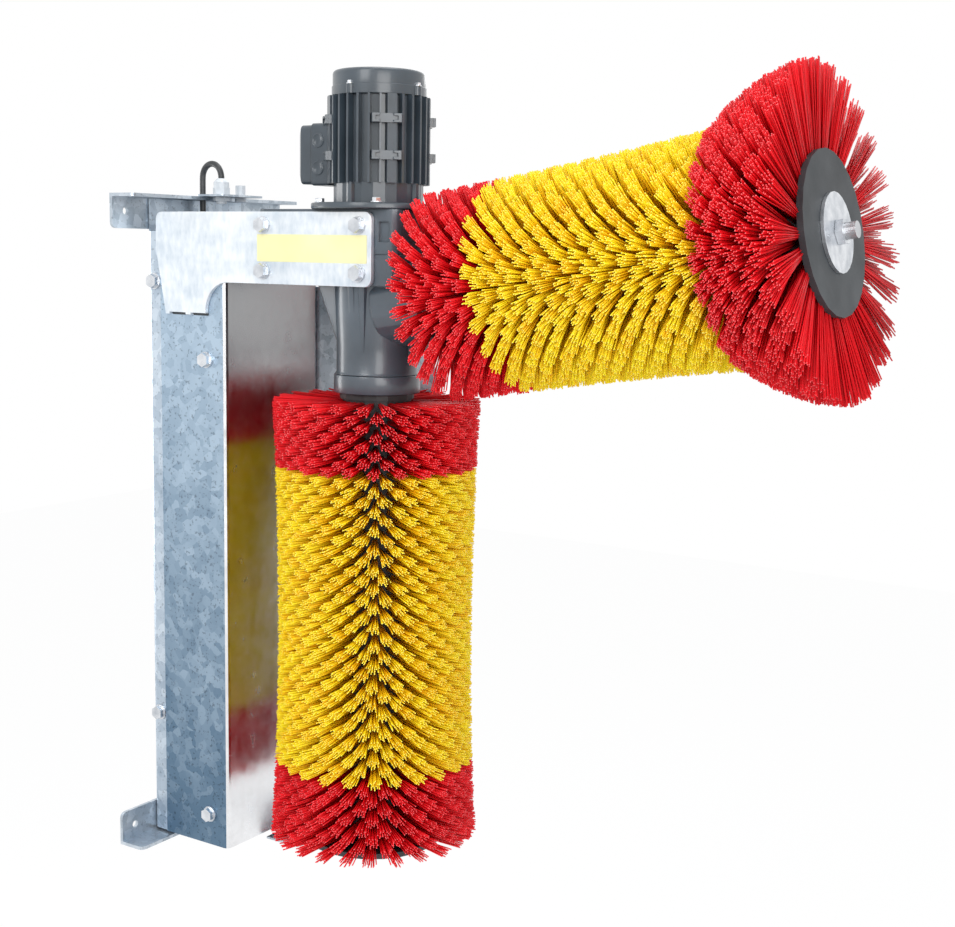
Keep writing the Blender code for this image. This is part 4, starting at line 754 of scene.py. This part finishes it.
def join_loops(bm, loops):
    """Skins a row of loops of corners and closes both ends."""
    count = len(loops[0])
    for first, second in zip(loops, loops[1:]):
        for k in range(count):
            j = (k + 1) % count
            bm.faces.new((first[k], first[j], second[j], second[k]))
    bm.faces.new(loops[0][::-1])
    bm.faces.new(loops[-1])
    bmesh.ops.recalc_face_normals(bm, faces=bm.faces)


WASHER_T = 1.8 * MM
WASHER_EDGE = 0.4 * MM
CAP_SCREW_Z = 166.7 * MM
CAP_SCREW_AT = 64.5 * MM
CAP_SCREW = (3.6 * MM, 3.0 * MM)      # head's radius and height
FLANGE_BOLT_ANGLES = (35, 125, 215, 305)
FLANGE_BOLT_AT = 80.0 * MM
FLANGE_BOLT = (6.2 * MM, 5.0 * MM)


def add_bolt(bm, matrix, radius, height):
    """A washer with a hexagonal head on it."""
    washer = radius * 1.25
    profile = [
        (0, 0), (washer, 0), (washer, WASHER_T - WASHER_EDGE),
        (washer - WASHER_EDGE, WASHER_T), (0, WASHER_T),
    ]
    add_turned(bm, profile, matrix, 24)
    foot = WASHER_T - 0.1 * MM
    add_prism(bm, hexagon(radius), foot, foot + height, matrix, radius * 0.12)


def make_motor_bolts(materials):
    """Screws on the end cap's ears and bolts on the input flange."""
    bm = bmesh.new()
    for angle in QUARTERS:
        add_bolt(bm, around_motor(angle, CAP_SCREW_AT, CAP_SCREW_Z), *CAP_SCREW)
    top = heights("input_flange")[1]
    for angle in FLANGE_BOLT_ANGLES:
        add_bolt(bm, around_motor(angle, FLANGE_BOLT_AT, top), *FLANGE_BOLT)
    finish_piece("motor_bolts", bm, materials["zinc"], "frame", "zinc_plate")


BASE_LOW = Vector((305.6, -45, 36)) * MM
BASE_HIGH = Vector((335.0, 45, 120)) * MM
BASE_CORNER = 6.0 * MM
LID_LOW = Vector((278.0, -43, 38)) * MM
LID_HIGH = Vector((305.0, 43, 118)) * MM
LID_CORNER = 7.0 * MM
LID_CHAMFER = 8.0 * MM
CASE_RIM = 0.8 * MM
SEAL_INSET = 0.8 * MM                 # behind the base's edge
SEAL_SINK = 0.4 * MM
SEAL_RIM = 0.2 * MM
KNOCKOUTS = ((318.5, 59.5), (318.5, 96.5))
KNOCKOUT_RING = ((10.0, -0.2), (9.6, 1.2), (8.8, 1.6), (8.0, 1.2), (7.4, 0.2), (0, 0.15))


def add_case(bm, low, high, corner, chamfer, rim):
    """A box along X with round corners, whose face at the low X is chamfered."""
    outline = rounded([
        (low.y, low.z, corner), (high.y, low.z, corner), (high.y, high.z, corner), (low.y, high.z, corner),
    ], 5)
    middle = (low.yz + high.yz) / 2
    half = (high.yz - low.yz) / 2
    loops = []
    for x, inset in ((high.x, rim), (high.x - rim, 0), (low.x + chamfer, 0), (low.x, chamfer)):
        loop = []
        for spot in outline:
            away = spot - middle
            y = middle.x + away.x * (1 - inset / half.x)
            z = middle.y + away.y * (1 - inset / half.y)
            loop.append(bm.verts.new((x, y, z)))
        loops.append(loop)
    join_loops(bm, loops)


def make_terminal_box(materials):
    """The terminal box and its lid, with a seal between them and raised rings for cable entries."""
    bm = bmesh.new()
    add_case(bm, BASE_LOW, BASE_HIGH, BASE_CORNER, CASE_RIM, CASE_RIM)
    ring = [(r * MM, h * MM) for r, h in KNOCKOUT_RING]
    for x, z in KNOCKOUTS:
        for side in (-1, 1):
            spot = Matrix.Translation((x * MM, side * BASE_HIGH.y, z * MM))
            add_turned(bm, ring, spot @ Matrix.Rotation(-side * math.pi / 2, 4, "X"))
    finish_piece("terminal_base", bm, materials["motor"], "frame", "painted_aluminium", "terminal_box")
    bm = bmesh.new()
    add_case(bm, LID_LOW, LID_HIGH, LID_CORNER, LID_CHAMFER, CASE_RIM)
    finish_piece("terminal_cover", bm, materials["cap"], "frame", "painted_aluminium", "terminal_box_lid")
    bm = bmesh.new()
    inset = Vector((0, SEAL_INSET, SEAL_INSET))
    low = BASE_LOW + inset
    high = BASE_HIGH - inset
    low.x = LID_HIGH.x - SEAL_SINK
    high.x = BASE_LOW.x + SEAL_SINK
    add_case(bm, low, high, LID_CORNER, SEAL_RIM, SEAL_RIM)
    finish_piece("terminal_seal", bm, materials["rubber"], "frame", "painted_aluminium")


class Strands:
    """Three-sided strands, gathered into one mesh with a shade for each face corner."""

    def __init__(self):
        self.spots = []
        self.faces = []
        self.shades = []
        self.smooth = []

    def add(self, points, shades):
        base = len(self.spots)
        for i, point in enumerate(points):
            along = (points[min(i + 1, 2)] - points[max(i - 1, 0)]).normalized()
            side = along.orthogonal().normalized()
            across = along.cross(side)
            for turn in (0.0, math.tau / 3, 2 * math.tau / 3):
                self.spots.append(point + (side * math.cos(turn) + across * math.sin(turn)) * STRAND_R)
        for level in (0, 1):
            low = base + 3 * level
            for i in range(3):
                j = (i + 1) % 3
                self.faces.append((low + i, low + j, low + 3 + j, low + 3 + i))
                self.shades += [shades[level], shades[level], shades[level + 1], shades[level + 1]]
                self.smooth.append(True)
        # the cut end's cap takes the painted highlight
        self.faces.append((base + 6, base + 7, base + 8))
        self.shades += [1.0, 1.0, 1.0]
        self.smooth.append(False)

    def piece(self, name, material, body, slot, node):
        mesh = bpy.data.meshes.new(name)
        mesh.from_pydata(self.spots, [], self.faces)
        mesh.polygons.foreach_set("use_smooth", self.smooth)
        layer = mesh.attributes.new("shade", "FLOAT", "CORNER")
        layer.data.foreach_set("value", self.shades)
        mesh.materials.append(material)
        piece = bpy.data.objects.new(name, mesh)
        bpy.context.scene.collection.objects.link(piece)
        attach(piece, body)
        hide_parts(node)


GOLDEN = math.pi * (3 - math.sqrt(5))


def add_tuft(strands, angle, spot, radius_at, lean, matrix, dice, count, spread):
    """A bundle of strands that stands radially on the core and opens towards its tip."""
    spread_around, spread_along = spread
    out = Vector((math.cos(angle), math.sin(angle), 0))
    around = Vector((-out.y, out.x, 0))
    up = Vector((0, 0, 1))
    root = out * (CORE_R - ROOT_SINK) + up * spot
    sag = dice.uniform(-SAG, SAG)
    twist = dice.uniform(-TWIST, TWIST)
    tuft_shade = dice.uniform(0.55, 0.8)
    start = dice.random() * math.tau
    for k in range(count):
        share = math.sqrt((k + dice.random()) / count)
        turn = start + k * GOLDEN + dice.uniform(-0.3, 0.3)
        side, high = share * math.cos(turn), share * math.sin(turn)
        reach = radius_at(spot + high * spread_along) * dice.uniform(SHORTEST, 1.0)
        wide = reach / SPREAD_AT * dice.uniform(0.85, 1.1)
        foot = root + (around * side + up * high) * ROOT_R
        tip = out * reach + around * (twist + side * spread_around * wide)
        tip += up * (spot + lean + sag + high * spread_along * wide)
        middle = foot.lerp(tip, 0.5) - (around * side + up * high) * PINCH
        middle += (around * dice.uniform(-1, 1) + up * dice.uniform(-1, 1)) * WAVER
        shade = min(0.85, max(0.3, tuft_shade + dice.uniform(-0.16, 0.16)))
        strands.add([matrix @ foot, matrix @ middle, matrix @ tip], (ROOT_SHADE, shade * 0.75, shade))


def make_bristles(
    name, low, high, radius_at, lean_at, matrix, material, body, slot, node, dice, flared=False,
):
    """A band of tufts from low to high along the brush, each ring half a pitch round from the last."""
    strands = Strands()
    count, spread = (FLARE_STRANDS, FLARE_SPREAD) if flared else (STRANDS, SPREAD)
    pitch = math.tau / TUFTS_AROUND
    pitches = max(1, round((high - low) / (2 * RING_STEP)))
    rings = 2 * pitches
    for ring in range(rings):
        share = (ring + 0.5) / rings
        spot = low + (high - low) * share
        for tuft in range(TUFTS_AROUND):
            angle = (tuft + share * pitches) * pitch + dice.uniform(-0.012, 0.012)
            add_tuft(strands, angle, spot, radius_at, lean_at(spot), matrix, dice, count, spread)
    strands.piece(name, material, body, slot, node)


WAIST_R = 138.5 * MM
TOP_R = 146.0 * MM
FOOT_R = 149.0 * MM
VERTICAL_BANDS = (
    ("top", "red", "red_bristles"),
    ("middle", "yellow", "yellow_bristles"),
    ("bottom", "red", "red_bristles"),
)


def make_vertical_brush(materials, dice):
    low = heights("vertical_bristles_bottom")[0]
    high = heights("vertical_bristles_top")[1]
    middle = (low + high) / 2
    half = (high - low) / 2

    def radius_at(z):
        share = (z - middle) / half
        end = TOP_R if share > 0 else FOOT_R
        return WAIST_R + (end - WAIST_R) * min(1.0, share * share)

    for part, look, slot in VERTICAL_BANDS:
        node = f"vertical_bristles_{part}"
        make_bristles(
            f"vertical_tufts_{part}", *heights(node), radius_at, lambda z: 0.0, MOTOR_AXIS, materials[look],
            "vertical_brush", slot, node, dice,
        )


# Side brush, in millimetres along its axis from where the axes cross
SIDE_BANDS = (
    ("inner", 118.8, 230.7, "red", "red_bristles"),
    ("middle", 231.0, 540.7, "yellow", "yellow_bristles"),
    ("outer", 541.0, 651.0, "red", "red_bristles"),
)
SIDE_START, MIDDLE_START, FLARE_START, FLARE_END = 118, 231, 541, 651
START_R, SIDE_WAIST_R, FLARE_START_R, FLARE_END_R = 141, 140, 147, 200
FLARE_LEAN = 14.0 * MM


def side_radius(s):
    """The brush's radius along its axis: nearly even at first, wider outwards and flared at its end."""
    s /= MM
    if s < MIDDLE_START:
        share = (s - SIDE_START) / (MIDDLE_START - SIDE_START)
        return (START_R + (SIDE_WAIST_R - START_R) * share) * MM
    if s < FLARE_START:
        share = (s - MIDDLE_START) / (FLARE_START - MIDDLE_START)
        return (SIDE_WAIST_R + (FLARE_START_R - SIDE_WAIST_R) * share ** 3) * MM
    share = min(1.0, (s - FLARE_START) / (FLARE_END - FLARE_START))
    return (FLARE_START_R + (FLARE_END_R - FLARE_START_R) * math.sin(share * math.pi / 2)) * MM


def side_lean(s):
    """How far the tufts' tips lean outwards in the flare."""
    share = max(0.0, (s / MM - FLARE_START) / (FLARE_END - FLARE_START))
    return FLARE_LEAN * share * share


def make_side_brush(materials, dice):
    crossing = Matrix.Translation((MOTOR_X, 0, CROSSING_Z))
    matrix = crossing @ Matrix.Rotation(math.pi / 2 - SIDE_TILT, 4, "Y")
    for part, start, end, look, slot in SIDE_BANDS:
        make_bristles(
            f"side_tufts_{part}", start * MM, end * MM, side_radius, side_lean, matrix, materials[look],
            "side_brush", slot, f"side_bristles_{part}", dice, part == "outer",
        )


# Stage

def white_for_eyes(tree, lit, share):
    """Mixes the lit shader with plain white where a camera, glossy or transmission ray sees it."""
    of_world = lit.bl_idname == "ShaderNodeBackground"
    white = tree.nodes.new("ShaderNodeBackground" if of_world else "ShaderNodeEmission")
    white.inputs["Color"].default_value = (1, 1, 1, 1)
    white.inputs["Strength"].default_value = 1.0
    rays = tree.nodes.new("ShaderNodeLightPath")
    value = rays.outputs["Is Camera Ray"]
    for kind in ("Is Glossy Ray", "Is Transmission Ray"):
        either = tree.nodes.new("ShaderNodeMath")
        either.operation = "MAXIMUM"
        tree.links.new(value, either.inputs[0])
        tree.links.new(rays.outputs[kind], either.inputs[1])
        value = either.outputs[0]
    part = tree.nodes.new("ShaderNodeMath")
    part.operation = "MULTIPLY"
    part.inputs[1].default_value = share
    tree.links.new(value, part.inputs[0])
    mix = tree.nodes.new("ShaderNodeMixShader")
    tree.links.new(part.outputs[0], mix.inputs[0])
    tree.links.new(lit.outputs[0], mix.inputs[1])
    tree.links.new(white.outputs[0], mix.inputs[2])
    return mix.outputs[0]


FLOOR_HALF = 6.0
FLOOR_Z = -1.75
FLOOR_WHITE = 0.94                    # the rest of what an eye sees of the floor shows shadow


def make_stage():
    corners = [(x * FLOOR_HALF, y * FLOOR_HALF, FLOOR_Z) for x, y in ((-1, -1), (1, -1), (1, 1), (-1, 1))]
    mesh = bpy.data.meshes.new("floor")
    mesh.from_pydata(corners, [], [(0, 1, 2, 3)])
    ground = bpy.data.objects.new("floor", mesh)
    bpy.context.scene.collection.objects.link(ground)
    material = bpy.data.materials.new("pale_floor")
    material.use_nodes = True
    tree = material.node_tree
    shader = tree.nodes["Principled BSDF"]
    shader.inputs["Base Color"].default_value = (0.92, 0.92, 0.92, 1)
    shader.inputs["Roughness"].default_value = 0.9
    seen = white_for_eyes(tree, shader, FLOOR_WHITE)
    tree.links.new(seen, tree.nodes["Material Output"].inputs["Surface"])
    mesh.materials.append(material)


def make_world():
    world = bpy.data.worlds.new("studio")
    bpy.context.scene.world = world
    world.use_nodes = True
    tree = world.node_tree
    light = tree.nodes["Background"]
    light.inputs["Color"].default_value = (0.96, 0.98, 1.0, 1)
    light.inputs["Strength"].default_value = 0.8
    tree.links.new(white_for_eyes(tree, light, 1.0), tree.nodes["World Output"].inputs["Surface"])


MIDDLE = (0.4, 0, -0.35)
WHITE = (1, 1, 1)
LAMPS = (
    ("key", (0.4, -2.8, 1.4), MIDDLE, (1.2, 1.6), 30, WHITE),
    ("fill", (2.6, -2.0, 0.4), MIDDLE, (1.6, 1.6), 38, (1.0, 0.99, 0.98)),
    ("top", (0.6, 0.2, 2.6), MIDDLE, (1.8, 1.8), 28, WHITE),
    ("back", (-0.4, 2.4, 1.2), MIDDLE, (1.6, 1.6), 14, WHITE),
    ("wall_side", (-1.9, -0.38, -0.4), (0.4, 0, -0.5), (0.7, 1.2), 12, WHITE),
)


def add_lamp(name, spot, target, size, power, colour):
    data = bpy.data.lights.new(name, "AREA")
    data.shape = "RECTANGLE"
    data.size, data.size_y = size
    data.energy = power
    data.color = colour
    lamp = bpy.data.objects.new(name, data)
    lamp.location = spot
    lamp.rotation_euler = (Vector(target) - Vector(spot)).to_track_quat("-Z", "Y").to_euler()
    bpy.context.scene.collection.objects.link(lamp)


def make_camera():
    data = bpy.data.cameras.new("camera")
    data.lens = LENS
    data.sensor_width = SENSOR
    data.sensor_fit = "HORIZONTAL"
    camera = bpy.data.objects.new("camera", data)
    az, down, roll = (math.radians(v) for v in (CAMERA_AZIMUTH, CAMERA_DOWN, CAMERA_ROLL))
    level = Matrix.Translation(CAMERA_AT) @ Matrix.Rotation(az, 4, "Z")
    aimed = level @ Matrix.Rotation(math.pi / 2 - down, 4, "X")
    camera.matrix_world = aimed @ Matrix.Rotation(roll, 4, "Z")
    bpy.context.scene.collection.objects.link(camera)
    bpy.context.scene.camera = camera


def main():
    make_camera()
    make_stage()
    make_world()
    for lamp in LAMPS:
        add_lamp(*lamp)
    bpy.context.scene.view_settings.view_transform = "Standard"
    materials = {**make_metals(), **make_paints(), **make_plastics(), **make_nylons()}
    make_cable(materials)
    dress_nodes(materials)
    make_arms(materials)
    make_gap_shadows(materials)
    make_label(materials)
    make_terminal_box(materials)
    make_cap(materials)
    make_flange(materials)
    make_neck_skin(materials)
    make_neck_web(materials)
    make_collar(materials)
    make_lugs(materials)
    make_motor_bolts(materials)
    dice = random.Random(SEED)
    make_vertical_brush(materials, dice)
    make_side_brush(materials, dice)


main()
